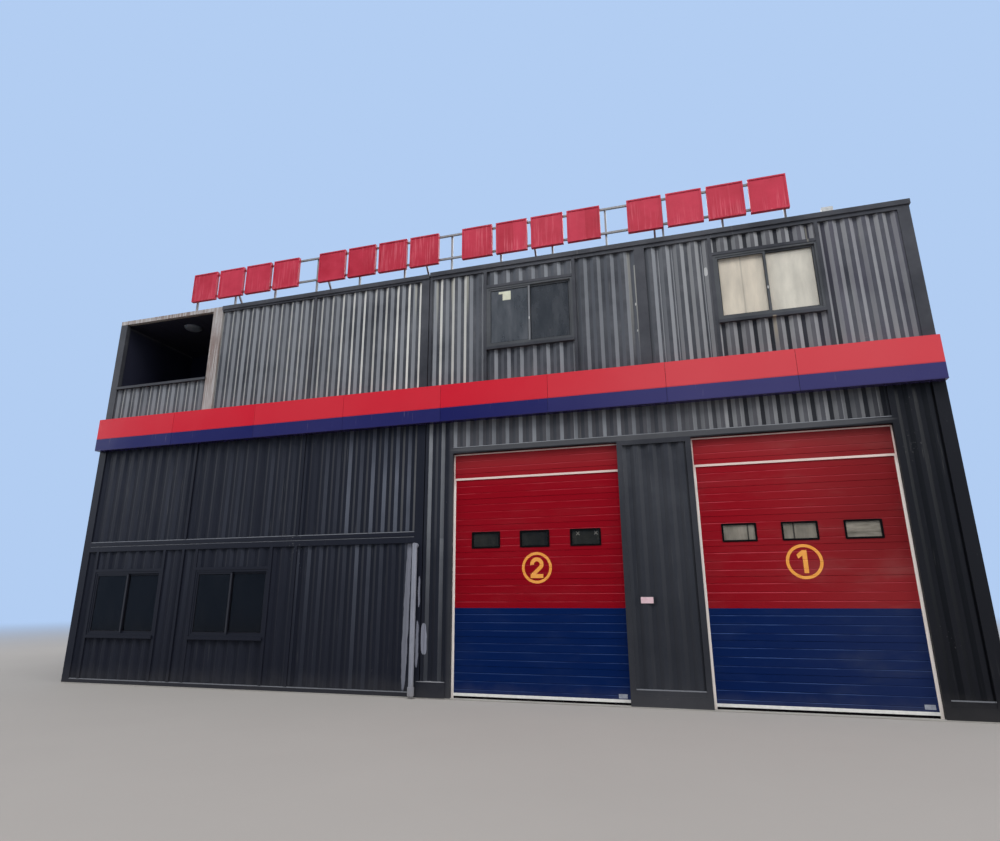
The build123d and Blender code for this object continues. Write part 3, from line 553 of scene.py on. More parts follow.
# %% Marks on the front
DRIPS = (  # centre, half width, top, length, strength, tone
    (3.99, 0.040, 8.62, 2.6, 0.42, (166, 164, 156)),
    (4.10, 0.016, 8.3, 2.2, 0.6, (176, 175, 168)),
    (6.58, 0.040, 6.84, 0.75, 0.55, (158, 147, 126)),
    (7.33, 0.018, 8.62, 0.9, 0.35, (160, 156, 140)),
    (-0.72, 0.030, 8.62, 1.0, 0.5, (170, 168, 156)),
    (-0.20, 0.035, 8.62, 1.3, 0.45, (165, 163, 152)),
    (0.16, 0.045, 8.62, 0.9, 0.5, (165, 163, 152)),
    (0.52, 0.030, 8.62, 1.1, 0.5, (170, 168, 156)),
)
FOLD_HIGHLIGHT, HEAD_HIGHLIGHT = ((138, 140, 144), 0.75, 0.006), ((132, 134, 137), 0.55, 0.0)
HEAD_SHADOW, LIGHT_PATCH = ((20, 20, 22), 0.8, 0.0), ((134, 136, 148), 0.85)
PATCHES = (  # centre x and z, half width, half height, tone, strength, wobble
    # painted highlights along three fold edges
    (4.578, 7.30, 0.010, 1.34, *FOLD_HIGHLIGHT),
    (4.848, 7.30, 0.010, 1.34, *FOLD_HIGHLIGHT),
    (5.408, 7.30, 0.010, 1.34, *FOLD_HIGHLIGHT),
    (5.460, 7.95, 0.030, 0.090, (190, 190, 190), 0.8, 0.03),
    # light patches beside the downpipe
    (-0.425, 1.93, 0.020, 0.29, *LIGHT_PATCH, 0.03),
    (-0.440, 0.96, 0.030, 0.42, *LIGHT_PATCH, 0.04),
    (-0.310, 1.05, 0.052, 0.28, (136, 138, 150), 0.85, 0.06),
    # a painted highlight along the top of the skirting
    (-0.150, 0.294, 0.29, 0.007, (158, 158, 162), 0.7, 0.0),
    # painted light over the head beam above both doors
    (4.21, 4.710, 4.00, 0.052, (92, 93, 95), 0.45, 0.02),
    # painted highlights along the beam's top edge over each door
    (1.89, 4.765, 1.66, 0.004, *HEAD_HIGHLIGHT),
    (6.54, 4.765, 1.66, 0.004, *HEAD_HIGHLIGHT),
    # painted shadow lines under the head beam over each door
    (1.89, 4.648, 1.66, 0.009, *HEAD_SHADOW),
    (6.54, 4.648, 1.66, 0.009, *HEAD_SHADOW),
    (4.08, 7.45, 0.012, 0.030, (196, 196, 192), 0.8, 0.01),
    (4.08, 6.88, 0.010, 0.024, (190, 190, 186), 0.8, 0.01),
)
# a slanted light strip beside the downpipe
STRIP = (-0.730, 1.66, 0.051, 1.54, (134, 136, 147), 0.9, 0.04)
SLANT = 0.018  # the strip beside the pipe leans by this many metres for each metre of height
STILES = ((1.890, 7.57, (132, 134, 138)), (-7.660, 1.72, (54, 55, 60)), (-4.845, 1.72, (54, 55, 60)))


def front_marks(place, colour):
    """Drips, patches, painted highlights and painted shadow lines, each at its own spot of the street front,
    then the slanted strip below its rail.
    """
    for *values, strength, tone in DRIPS:
        colour = blend(drip_stain(place, *values) * strength, colour, tone)
    at = split(place)
    ripple = noise(place, 4.5, 4.0, out=1)
    sheared = add_node("ShaderNodeCombineXYZ", {0: at.x - at.z * SLANT, 1: at.y, 2: at.z})
    for row in (*PATCHES, STRIP):
        x, z, half_x, half_z, tone, strength, wobble = row
        patch = painted_patch(sheared if row is STRIP else place, ripple, (x, WALL_FACE, z),
                              (half_x, 0.2, half_z), wobble)
        if row is STRIP:
            patch = patch * falling(at.z, 2.860, 2.866)
        colour = blend(patch * strength, colour, tone)
    return colour


def pale_edges(place, colour):
    """The bevelled edges of rails and skirting, which face partly up or down, are painted pale: partly rubbed
    paint, partly painted highlight.
    """
    bevel = steps_along(abs(facing(place).z), (0.2, 0.35, 0.0, 1.0), (0.92, 0.97, 1.0, 0.0))
    return blend(bevel * on_front(split(place), 0.4) * 0.5, colour, (126, 128, 133))


def pale_stile(place, colour):
    """The middle stiles are painted paler than the frames; on the ground floor this is painted light within
    the painted shade, and that of the left upper window is paler still.
    """
    for x, z, tone in STILES:
        stile = painted_patch(place, NO_RIPPLE, (x, -6.08, z), (0.020, 0.2, 0.62), 0.0, 12.0)
        colour = blend(stile * 0.6, colour, tone)
    return colour


weathered_paint("frame_grey", base=(42, 43, 48), chalk_and_light=(80, 81, 86), streak=(114, 113, 112), roughness=0.5,
                width=0.07, share=0.35, paling=0.7, under=pale_edges, over=front_marks)
weathered_paint("sheet_grey", base=(40, 42, 48), chalk_and_light=(98, 100, 105), streak=(132, 132, 128), roughness=0.5,
                width=0.035, share=0.40, paling=0.88, under=painted_slope_highlights, over=front_marks)
weathered_paint("window_metal", base=(62, 64, 67), chalk_and_light=(88, 90, 93), streak=(112, 112, 110), roughness=0.5,
                width=0.05, share=0.25, paling=0.4, over=pale_stile)
# The loggia's inner walls are painted nearly black-blue, as the shade inside the loggia.
weathered_paint("inner_wall", base=(12, 14, 34), chalk_and_light=(18, 20, 40), streak=(26, 27, 42), roughness=0.6,
                width=0.08, share=0.3, paling=0.2)
print("weathered paints:", ", ".join(MATERIALS))

# %% [markdown]
# ## Worn pale steel
#
# The loggia's beam and post and the sign's tubes are a paler grey and have started to rust where the
# paint is thin. Rust is a warm brown that lies in specks and short runs.

# %% Pale steel
def pale_steel():
    """Pale grey paint with chalky clouds, grey grime and specks of rust, browner round the loggia."""
    shader, place = start_material("pale_steel")
    at = split(place)
    loggia = falling(at.x, -5.6, -5.5) * falling(at.z, 8.86, 8.88)
    colour = blend(cloudy_tone(place, 1.6, 1.8), (112, 113, 116), (148, 148, 150))
    colour = blend(loggia * 0.55, colour, (182, 176, 170))
    grime = rain_streaks(place, 0.04, 0.8)
    colour = blend(grime * (0.45 + loggia * 0.4), colour, (104, 80, 68))
    rust = small_chips(place, 0.03, 0.45)
    colour = blend(rust * 0.75, colour, (104, 62, 40))
    close_material(shader, colour, 0.46 + rust * 0.35, noise(place, 220.0, 3.0, 0.6), 0.0004)


pale_steel()
print("pale steel with rust")

# %% [markdown]
# ## Door coating
#
# The sectional doors are factory coated steel: an even satin skin with a fine pressed grain, a film of
# dust that is heaviest low down, and wipe marks. Along each pressed rib a fine line of a lighter tone of
# the door's own colour is painted as the highlight that the groove catches, by the same rhythm as the
# grooves. The coating is painted a little lighter upwards, partly fading and partly sky reflection, and
# part of the right-hand door is darkened as painted shade.

# %% Doors
def door_coating(name, base, faded, wear_and_highlight, dust, dust_strength, bloom):
    """Satin coating, faded in clouds and lighter upwards as painted sky reflection, with a painted highlight
    along each rib and painted shade on part of the right door, dusty in soft swipes and at the foot.
    """
    shader, place = start_material(name, Specular_IOR_Level=0.05)
    at = split(place)
    # lighter upwards: partly fading, partly painted sky reflection
    fade_and_sheen = (between(at.z, 1.6, 4.8) + cloudy_tone(place, 0.7, 1.8)) * 0.5
    colour = blend(fade_and_sheen, base, faded)
    step = maths("FLOORED_MODULO", at.z - DOOR_FOOT, SECTION)
    # painted highlight lines along the lower face of each rib
    lines = largest(*(falling(abs(step - (rib - 0.007)), 0.003, 0.009) for rib in RIB_PLACES))
    broken = between(noise(scaled(place, (0.9, 1.0, 0.12)), 1.0, 3.0, 0.6), 0.36, 0.62)
    highlight_share = steps_along(at.x, (3.6, 4.9, 0.55, 0.90), (5.6, 8.0, 1.0, 0.5))
    colour = blend(lines * broken * highlight_share, colour, wear_and_highlight)
    cloud = between(noise(scaled(place, (1.4, 1.0, 0.5)), 1.0, 4.0, 0.6), 0.46, 0.78)
    colour = blend(cloud * dust_strength, colour, dust)
    right_door = between(at.x, 5.2, 8.0, 0.012, 0.085) * (cloud + 0.6) * between(at.x, 4.0, 4.5)
    colour = blend(right_door + between(at.z, 3.9, 4.6, 0.0, 0.055), colour, bloom)
    # painted shade over part of the right-hand door
    dull = between(at.x, 6.2, 8.1, 0.0, 0.9) * between(at.z, 1.8, 2.8)
    colour = blend(dull, colour, (212, 200, 200), "MULTIPLY")
    splash = ground_splash(place, 0.4)
    colour = blend(splash * 0.14, colour, (110, 108, 108))
    grain = noise(scaled(place, (0.012, 0.012, 0.004)), 1.0, 2.0)
    close_material(shader, colour, 0.44 + (cloud + splash) * 0.16, grain, 0.0003)


door_coating("door_red", base=(128, 4, 20), faded=(142, 8, 26), wear_and_highlight=(176, 58, 70), dust=(140, 84, 88),
             dust_strength=0.07, bloom=(150, 150, 140))
door_coating("door_blue", base=(2, 26, 72), faded=(4, 31, 82), wear_and_highlight=(46, 70, 118), dust=(70, 84, 110),
             dust_strength=0.08, bloom=(110, 110, 90))
print("door coatings with ribs at", RIB_PLACES, "m in each section")

# %% [markdown]
# ## Fascia cassettes and sign trays
#
# The band is made of glossy composite panels. Each was folded and hung by itself, so neighbours differ
# a little in tone and lie a little uneven, and the thin skin is slightly wavy. A floor of x divided by
# the panel width numbers the panels, and a white noise turns the number into a tone.
#
# The trays on the roof are red sheet that has bleached to pink where the sun and rain reach it most. The
# bleaching runs in clouds and downwards streaks, and a few trays have faded more than others.

# %% Fascia and trays
def fascia_gloss(name, base, lighter, low, high, reflection):
    """Glossy panel, its tone fixed for each panel, painted lighter to the right as a reflection of the sky,
    with thin water marks.
    """
    shader, place = start_material(name, Specular_IOR_Level=0.14, Coat_Weight=0.04, Coat_Roughness=0.12)
    at = split(place)
    width = (cad_box[1].x - cad_box[0].x) / 8
    own = own_tone(maths("FLOOR", (at.x - cad_box[0].x) / width))
    tone = cloudy_tone(place, 0.45, 1.4)
    # painted reflection: the gloss is painted lighter towards the right
    painted_reflection = between(at.x, 0.0, 5.5, 0.0, reflection)
    colour = blend(maths("ADD", painted_reflection, own * 0.18 + tone * 0.24, clamp=True), base, lighter)
    marks = rain_streaks(place, 0.03, 0.3) * between(at.z, high - 0.30, high)
    colour = blend(marks * 0.3, colour, (216, 196, 196))
    colour = blend(falling(at.z, low, low + 0.03) * 0.35, colour, (40, 22, 34))
    swell = noise(scaled(place, (0.75, 1.0, 0.4)), 1.0, 1.0, 0.4)
    close_material(shader, colour, 0.16 + tone * 0.12, swell, 0.006)


def sign_tray():
    """Bleached red: one tone for each tray, clouds and streaks of pink, thin rust at the rim."""
    shader, place = start_material("sign_red", Specular_IOR_Level=0.15)
    own = own_tone(maths("FLOOR", split(place).x / 0.79))
    tone = cloudy_tone(place, 1.7, 2.0)
    colour = blend(own * 0.35 + tone * 0.6, (150, 12, 36), (196, 60, 82))
    colour = blend(rain_streaks(place, 0.03, 0.6) * 0.4, colour, (214, 118, 130))
    colour = blend(small_chips(place, 0.02, 0.25) * 0.7, colour, (110, 62, 48))
    close_material(shader, colour, 0.42 + tone * 0.2, noise(place, 90.0, 3.0, 0.6), 0.0005)


fascia_gloss("fascia_red", base=(196, 8, 36), lighter=(203, 76, 82), low=5.59, high=6.09, reflection=0.55)
fascia_gloss("fascia_blue", base=(10, 13, 80), lighter=(66, 63, 106), low=5.30, high=5.59, reflection=0.50)
sign_tray()
print("glossy band of eight panels, and faded sign trays")

# %% [markdown]
# ## Glass, blind, trims, rubber and pipe
#
# Seen from the street by day a pane is mostly a grey film over a dark room, partly dust and partly painted
# sky reflection, so its alpha is the share that the film covers. The ground floor's panes are painted
# nearly black as shade. The pane before the closed blind is the cleanest, and those of the
# right-hand bay door have been frosted. The blind is woven cloth. The white trims are dirty at the foot,
# and the black rubber round the door windows is matt with a grey bloom.

# %% Panes
def frosted_pane(at, place, film):
    """The right-hand door's panes: milky, streaked in the last one, with bars behind the glass."""
    wisps = cloudy_tone(scaled(place, (0.5, 1.0, 0.07)), 1.0, 2.8)
    streaks_in_last = (wisps - film) * between(at.x, 7.0, 7.1)
    colour = blend(maths("ADD", film, streaks_in_last, clamp=True), (98, 94, 84), (158, 151, 139))
    for x in (5.71, 6.445):
        colour = blend(between(abs(at.x - x), 0.008, 0.018, 0.8, 0.0), colour, (30, 27, 25))
    return colour


def taped_pane(at, film):
    """The left-hand door's panes: dark, with two small crosses of tape."""
    colour = blend(film, (14, 14, 12), (50, 50, 45))
    for x in (2.722, 3.062):
        aside, below = abs(at.x - x), abs(at.z - 2.965)
        cross = between(abs(aside - below), 0.005, 0.014, 0.5, 0.0) * falling(aside, 0.026, 0.036)
        colour = blend(cross, colour, (160, 156, 148))
    return colour


def window_pane():
    """Dust and painted sky reflection by place: thin before the blind, painted nearly black as shade on the
    ground floor, and painted darker right of the left upper window's middle.
    """
    shader, place = start_material("window_pane", Specular_IOR_Level=0.14, IOR=1.5)
    at = split(place)
    film = cloudy_tone(scaled(place, (0.25, 1.0, 0.9)), 1.0, 2.2)
    right = between(at.x, 4.2, 4.3)
    low = falling(at.z, 4.0, 4.1)
    # Painted shade: the ground floor's panes nearly black, and the upper panes right of x 1.9 darker.
    shaded = largest(between(at.z, 3.0, 3.1, 0.97, 0.0), between(at.x, 1.88, 1.92, 0.0, 0.40))
    rooms = blend(shaded, blend(film, (60, 65, 71), (95, 98, 103)), (5, 7, 14))
    doors = blend(right, taped_pane(at, film), frosted_pane(at, place, film))
    colour = blend(low * between(at.x, -0.4, -0.3), rooms, doors)
    by_blind = right * between(at.y, -1.0, -1.1) * (1.0 - low)
    wave = noise(scaled(place, (0.9, 0.9, 0.7)), 1.0, 1.0, 0.4)
    close_material(shader, colour, 0.06 + film * 0.14, wave, 0.0015, 0.80 + film * 0.12 - by_blind * 0.74)


window_pane()
print("panes with dust, frost and tape")

# %% Blind, trims, rubber and pipe
def blind_cloth():
    """Cream plain weave: two sets of threads from sines of x and z, with soft upright folds of tone."""
    shader, place = start_material("blind_cream", Roughness=0.85, Sheen_Weight=0.15)
    at = split(place)
    threads = maths("SINE", at.x * 1600.0) * maths("SINE", at.z * 1600.0)
    folds = noise(scaled(place, (0.3, 1.0, 4.0)), 1.0, 2.0)
    colour = blend(folds, (252, 240, 220), (242, 230, 210))
    colour = blend(between(at.x, 6.3, 6.8), colour, (240, 234, 219))
    colour = blend(between(abs(at.x - 6.11), 0.004, 0.022, 0.4, 0.0), colour, (168, 158, 142))
    close_material(shader, colour, None, threads, 0.0002)


def white_trim():
    """White coated metal with grey streaks, a reddish bloom beside the top panels and a dirty foot."""
    shader, place = start_material("trim_white", Specular_IOR_Level=0.1)
    colour = blend(cloudy_tone(place, 3.0, 1.6), (250, 240, 232), (236, 226, 218))
    colour = blend(rain_streaks(place, 0.03, 0.5) * 0.25, colour, (160, 152, 142))
    colour = blend(between(split(place).z, 3.9, 4.1, 0.0, 0.6), colour, (202, 170, 162))
    splash = ground_splash(place, 0.35)
    colour = blend(splash * 0.3, colour, (156, 148, 138))
    close_material(shader, colour, 0.36 + splash * 0.3, noise(place, 120.0, 2.0), 0.0003)


def plastic_pipe():
    """Pale grey pipe with dirt at its foot and runs of grime down its length."""
    shader, place = start_material("pipe_grey")
    colour = blend(cloudy_tone(place, 4.0, 1.8), (122, 124, 134), (142, 144, 154))
    colour = blend(rain_streaks(place, 0.012, 0.6) * 0.45, colour, (92, 92, 96))
    splash = ground_splash(place, 0.5)
    colour = blend(splash * 0.5, colour, (116, 108, 98))
    close_material(shader, colour, 0.40 + splash * 0.3, noise(place, 140.0, 2.0), 0.0003)


for recipe in (blind_cloth, white_trim, plastic_pipe):
    recipe()
clouded("gasket_black", cloud=(9.0, 2.4), tones=((7, 5, 7), (20, 17, 18)), rough=(0.5, 0.3), grain=260.0,
        share=0.6, Specular_IOR_Level=0.04)
print("small finishes:", ", ".join(list(MATERIALS)[-4:]))

# %% [markdown]
# ## Slab, boards, roof and lamp
#
# The slab is floated concrete. Inside, the walls are lined with faced board in sheets, and the floors
# are laid boards. The roof is dusty sheet with raised seams and dried puddles. They are seen through
# the windows, in the loggia and from above, so they get the same care in a plainer palette.

# %% Concrete, boards, roof and lamp cover
def painted_loggia_shade(place, colour):
    """Painted shade inside the open loggia: the boards and the deck that close it are darkened there."""
    low, high = Vector((-9.10, -6.02, 5.94)), Vector((-6.16, -3.60, 8.72))
    middle, half = tuple((low + high) / 2), tuple((high - low) / 2)
    return blend(painted_patch(place, NO_RIPPLE, middle, half, 0.0, 60.0), colour, (14, 16, 36))


def seams_along(coordinate, pitch, half_width):
    """A thin line in the middle of each stretch of the pitch."""
    rest = abs(maths("FLOORED_MODULO", coordinate, pitch) - pitch / 2)
    return falling(rest, half_width, half_width * 2.2)


def floated_concrete():
    """Grey concrete with fine sand and cloudy damp."""
    shader, place = start_material("concrete")
    damp = cloudy_tone(place, 1.2, 2.0)
    sand = noise(place, 180.0, 4.0, 0.7)
    colour = blend(sand * 0.35, blend(damp, (150, 146, 140), (176, 172, 166)), (112, 108, 102))
    close_material(shader, colour, 0.72 + damp * 0.15, sand, 0.0015)


def lining_board():
    """Faced board in sheets 1.2 m wide: pale, with thin joints and cloudy tone."""
    shader, place = start_material("lining_board", Roughness=0.62)
    at = split(place)
    joints = largest(seams_along(at.x, 1.2, 0.002), seams_along(at.y, 1.2, 0.002))
    colour = blend(cloudy_tone(place, 1.1, 1.3), (196, 194, 188), (178, 176, 170))
    # painted shade inside the loggia
    colour = painted_loggia_shade(place, blend(joints, colour, (110, 108, 104)))
    close_material(shader, colour, None, noise(place, 60.0, 2.0) - joints * 2.0, 0.0006)


def floor_board():
    """Boards 0.2 m wide along the building's depth, each with its own tone and a long wood grain."""
    shader, place = start_material("floor_board", Roughness=0.58)
    x = split(place).x
    grain = noise(scaled(place, (0.012, 0.5, 0.012)), 1.0, 4.0, 0.6)
    colour = blend(own_tone(maths("FLOOR", x / 0.2)) * 0.5 + grain * 0.5, (126, 104, 82), (160, 138, 112))
    joints = seams_along(x, 0.2, 0.002)
    colour = blend(joints, colour, (70, 58, 46))
    close_material(shader, colour, None, grain - joints * 2.0, 0.0006)


def roof_sheet():
    """Grey roofing with a raised seam every 0.6 m, dried puddles with dark rims, and dust."""
    shader, place = start_material("roof_grey")
    seams = seams_along(split(place).x, 0.6, 0.012)
    pool = noise(scaled(place, (2.2, 1.6, 1.0)), 1.0, 4.0, 0.55)
    rim = between(pool, 0.52, 0.55) * falling(pool, 0.55, 0.60)
    colour = blend(between(pool, 0.40, 0.62), (112, 113, 114), (122, 120, 116))
    colour = blend(rim * 0.3, colour, (96, 93, 88))
    colour = blend(cloudy_tone(place, 16.0, 1.8) * 0.25, colour, (98, 98, 98))
    height = seams + noise(place, 90.0, 3.0, 0.6) * 0.05
    # painted shade inside the loggia
    close_material(shader, painted_loggia_shade(place, colour), 0.55 + pool * 0.2, height, 0.02)


for recipe in (floated_concrete, lining_board, floor_board, roof_sheet):
    recipe()
clouded("lamp_white", cloud=(6.0, 1.5), tones=((92, 97, 106), (70, 73, 80)), rough=(0.28, 0.2), grain=70.0,
        share=0.5, Subsurface_Weight=0.2, Subsurface_Scale=0.02)
print("plain finishes:", ", ".join(list(MATERIALS)[-5:]))

# %% [markdown]
# ## Paint the solids
#
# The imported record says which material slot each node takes. A node keeps its mesh, and its object's
# slots are filled with the finish of the same name.

# %% Assign the finishes
for part in frame["record"]["subparts"]:
    mesh = nodes[part["node"]].data
    mesh.materials.clear()
    mesh.materials.append(MATERIALS[part["material_slot"]])

# %% [markdown]
# ## Surfaces from grids
#
# Each added piece is worked out as a grid of points: rows go along the piece and columns across or
# round it. One function turns such a grid, or a stack of them, into a mesh, joins points that meet at a
# seam or a pole, turns the faces outwards, and hangs the piece on the building.

# %% Mesh from a grid
def grid_piece(name, points, material, round_columns=False, round_rows=False, facing=None):
    """Faces join each point to the next row and column; points has shape (..., rows, columns, 3)."""
    rows, columns = points.shape[-3:-1]
    index = np.arange(points.size // 3).reshape(-1, rows, columns)
    if round_columns:
        index = np.concatenate([index, index[:, :, :1]], axis=2)
    if round_rows:
        index = np.concatenate([index, index[:, :1]], axis=1)
    quads = np.stack([index[:, :-1, :-1], index[:, :-1, 1:], index[:, 1:, 1:], index[:, 1:, :-1]], axis=-1)
    mesh = bpy.data.meshes.new(name)
    mesh.from_pydata(points.reshape(-1, 3).tolist(), [], quads.reshape(-1, 4).tolist())
    work = bmesh.new()
    work.from_mesh(mesh)
    bmesh.ops.remove_doubles(work, verts=work.verts, dist=1e-6)
    bmesh.ops.recalc_face_normals(work, faces=work.faces)
    work.to_mesh(mesh)
    work.free()
    normals = np.zeros(len(mesh.polygons) * 3)
    mesh.polygons.foreach_get("normal", normals)
    if facing is not None and (normals.reshape(-1, 3) @ np.array(facing)).mean() < 0:
        mesh.flip_normals()
    mesh.materials.append(MATERIALS[material])
    piece = bpy.data.objects.new(name, mesh)
    bpy.context.scene.collection.objects.link(piece)
    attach(piece, "root")
    print(name, "has", len(mesh.vertices), "points and", len(mesh.polygons), "faces")
    return piece


def thicken(piece, depth):
    """Give an open sheet its thickness, inwards from its face."""
    solid = piece.modifiers.new("thickness", "SOLIDIFY")
    solid.thickness, solid.offset = depth, -1.0


# %% [markdown]
# ## Painted bay numbers
#
# Each door wears a plain number in a ring, in orange-yellow film pressed onto the ribbed skin. So the
# film has to dip into every groove. A function gives the groove depth at any height: a triangle at each
# rib and a steeper one at each joint. The ring and the strokes of the figures are ruled between an inner
# and an outer edge, and the depth is then added to every point of them.

# %% Depth of the door's grooves
RIB, JOINT = (0.007, 0.005), (0.005, 0.009)  # half width and depth of a rib and of a joint
FILM_OFF = 0.0015


def groove_depth(z):
    """How far the door's face lies back at height z: the nearest rib's or joint's triangle."""
    step = np.mod(z - DOOR_FOOT, SECTION)
    ribs = [np.clip(1 - np.abs(step - place) / RIB[0], 0, None) * RIB[1] for place in RIB_PLACES]
    joint = np.clip(1 - np.minimum(step, SECTION - step) / JOINT[0], 0, None) * JOINT[1]
    return np.max([*ribs, joint], axis=0)


def ruled(first, second, steps):
    """Points in straight lines from one edge to the other; each edge is an array of (x, z)."""
    share = np.linspace(0, 1, steps)[None, :, None]
    return first[:, None] * (1 - share) + second[:, None] * share


def pressed_on_door(flat):
    """Stand flat (x, z) points up on the door, a film's thickness in front of its grooved face."""
    x, z = flat[..., 0], flat[..., 1]
    return np.stack([x, DOOR_FACE - FILM_OFF + groove_depth(z), z], axis=-1)


print("a rib is", round(float(groove_depth(np.array(DOOR_FOOT + 0.26))) * 1000, 1), "mm deep")

# %% Number film
def ring(centre, radius, stroke):
    """Two circles about the centre: outer edge at the radius, inner edge one stroke inside it."""
    angle = np.linspace(0, 2 * np.pi, 560, endpoint=False)
    turn = np.stack([np.cos(angle), np.sin(angle)], axis=-1)
    return ruled(np.array(centre) + turn * radius, np.array(centre) + turn * (radius - stroke), 17)


def bar(low, high, steps):
    """An upright rectangle between two corners (x, z), finely divided in height."""
    z = np.linspace(low[1], high[1], steps)
    return ruled(np.stack([np.full(steps, low[0]), z], -1), np.stack([np.full(steps, high[0]), z], -1), 2)


HALF_HEIGHT = 0.19  # of a figure
RING_RADIUS, RING_STROKE = 0.288, 0.050


def figure_one(x, z):
    """A stem, and a flag whose two edges run down to the left from the stem's top."""
    stem = bar((x - 0.022, z - HALF_HEIGHT), (x + 0.050, z + HALF_HEIGHT), 170)
    along = np.linspace(0, 1, 40)[:, None]
    upper = np.array([x - 0.022, z + HALF_HEIGHT]) + along * np.array([-0.092, -0.075])
    lower = np.array([x - 0.022, z + 0.100]) + along * np.array([-0.070, -0.050])
    return [stem, ruled(upper, lower, 36)]


def figure_two(x, z):
    """An arc over the top, a straight run down to the left, and a foot."""
    stroke, radius = 0.072, 0.090
    top = z + HALF_HEIGHT - stroke / 2 - radius
    angle = np.radians(np.linspace(188, -38, 110))
    foot_top = z - HALF_HEIGHT + stroke
    edges = []
    for size, foot_left in ((radius + stroke / 2, 0.018), (radius - stroke / 2, 0.118)):
        arc = np.array([x, top]) + size * np.stack([np.cos(angle) * 1.02, np.sin(angle)], -1)
        foot = np.array([x - foot_left, foot_top])
        down = arc[-1] + np.linspace(0, 1, 70)[1:, None] * (foot - arc[-1])
        edges.append(np.concatenate([arc, down]))
    return [ruled(edges[0], edges[1], 24), bar((x - 0.122, z - HALF_HEIGHT), (x + 0.122, foot_top), 36)]


clouded("number_film", cloud=(5.0, 2.0), tones=((226, 142, 34), (238, 166, 78)), rough=(0.36, 0.15),
        grain=300.0, chips=(0.012, 0.2, 0.6, (170, 90, 40)), depth=0.0002)
NUMBERS = {1: (figure_one, 0.008, 2.375), 2: (figure_two, 0.033, 2.347)}  # figure, offset in x, height
for number, (figure, offset, height) in NUMBERS.items():
    middle = (BAY_CENTRES[number] + offset, height)
    for index, stroke in enumerate([ring(middle, RING_RADIUS, RING_STROKE)] + figure(*middle)):
        film = grid_piece(f"bay_{number}_film_{index}", pressed_on_door(stroke), "number_film",
                          facing=(0, -1, 0))
        thicken(film, 0.001)

# %% [markdown]
# ## Plates, labels and a small box
#
# A plate beside the doors, a label at the foot of each door and a small box on the roof edge are bare
# here. Each is a cushion-edged plate: a rounded rectangle, repeated from the back edge to the front edge
# and drawn in a little over the front, so that its rim catches the light.

# %% Plates
def rounded_outline(width, height, radius, corner_steps=6):
    """A closed rectangle with quarter circles at its corners, as (x, z) about its middle."""
    quarter = np.linspace(0, np.pi / 2, corner_steps)
    turns = quarter[None] + np.arange(4)[:, None] * np.pi / 2
    sign = np.array([[1, 1], [-1, 1], [-1, -1], [1, -1]])
    corners = sign * np.array([width / 2 - radius, height / 2 - radius])
    return (corners[:, None] + radius * np.stack([np.cos(turns), np.sin(turns)], -1)).reshape(-1, 2)


def plate(centre, size, back, front, radius, soften):
    """Rings of one outline: pole, back edge, front edge, drawn-in edge and pole, from back to front."""
    outline = rounded_outline(*size, radius)
    inner = outline * (1 - 2 * soften / np.array(size))
    rings = [(outline * 0, back), (outline, back), (outline, front + soften), (inner, front),
             (inner * 0, front)]
    return np.array([np.stack([centre[0] + flat[:, 0], np.full(len(flat), y), centre[1] + flat[:, 1]], -1)
                     for flat, y in rings])


PLATE_FINISHES = {  # two tones, least roughness, strength of the chips
    "pink_enamel": ((226, 196, 201), (204, 168, 174), 0.35, 0.7),
    "grey_label": ((168, 172, 182), (120, 124, 136), 0.4, 0.7),
    "box_plastic": ((196, 198, 198), (160, 160, 158), 0.45, 0.7),
    "foot_strip": ((232, 230, 226), (208, 205, 199), 0.4, 0.1),
    "plate_edge": ((36, 36, 40), (58, 56, 56), 0.5, 0.7),
    "old_paper": ((206, 207, 188), (190, 190, 168), 0.8, 0.7),
}
for name, (*tones, least, chipped) in PLATE_FINISHES.items():
    clouded(name, cloud=(12.0, 2.0), tones=tones, rough=(least, 0.2), grain=240.0,
            chips=(0.01, 0.25, chipped, (92, 74, 66)))
BEHIND_PLATE = CREST_FACE - 0.003
PLATES = {  # centres (x, z), size, back, front, material, corner radius
    "pier_plate_edge": ([(3.92, 1.755)], (0.235, 0.125), CREST_FACE, BEHIND_PLATE, "plate_edge", 0.010),
    "pier_plate": ([(3.92, 1.755)], (0.215, 0.105), BEHIND_PLATE, BEHIND_PLATE - 0.003, "pink_enamel", 0.008),
    "door_labels": ([(3.405, 0.160), (8.03, 0.175)], (0.15, 0.07), DOOR_FACE, DOOR_FACE - 0.002,
                    "grey_label", 0.004),
    "door_foot_strips": ([(x, 0.085) for x in BAY_CENTRES.values()], (3.29, 0.05), DOOR_FACE,
                         DOOR_FACE - 0.008, "foot_strip", 0.004),
    "parapet_box": ([(7.74, RAIL_TOP + 0.05)], (0.20, 0.10), WALL_FACE + 0.07, WALL_FACE - 0.01,
                    "box_plastic", 0.012),
}
for name, (centres, size, back, front, material, radius) in PLATES.items():
    stack = np.array([plate(centre, size, back, front, radius, 0.0015) for centre in centres])
    grid_piece(name, stack, material, round_columns=True)

# %% [markdown]
# ## Beads round the panes and latches on the sashes
#
# A black rubber bead holds each pane in its sash. It is a small wedge carried round a rectangle: the
# rectangle grows as the wedge's own outline goes out, and the depth follows the wedge's height.

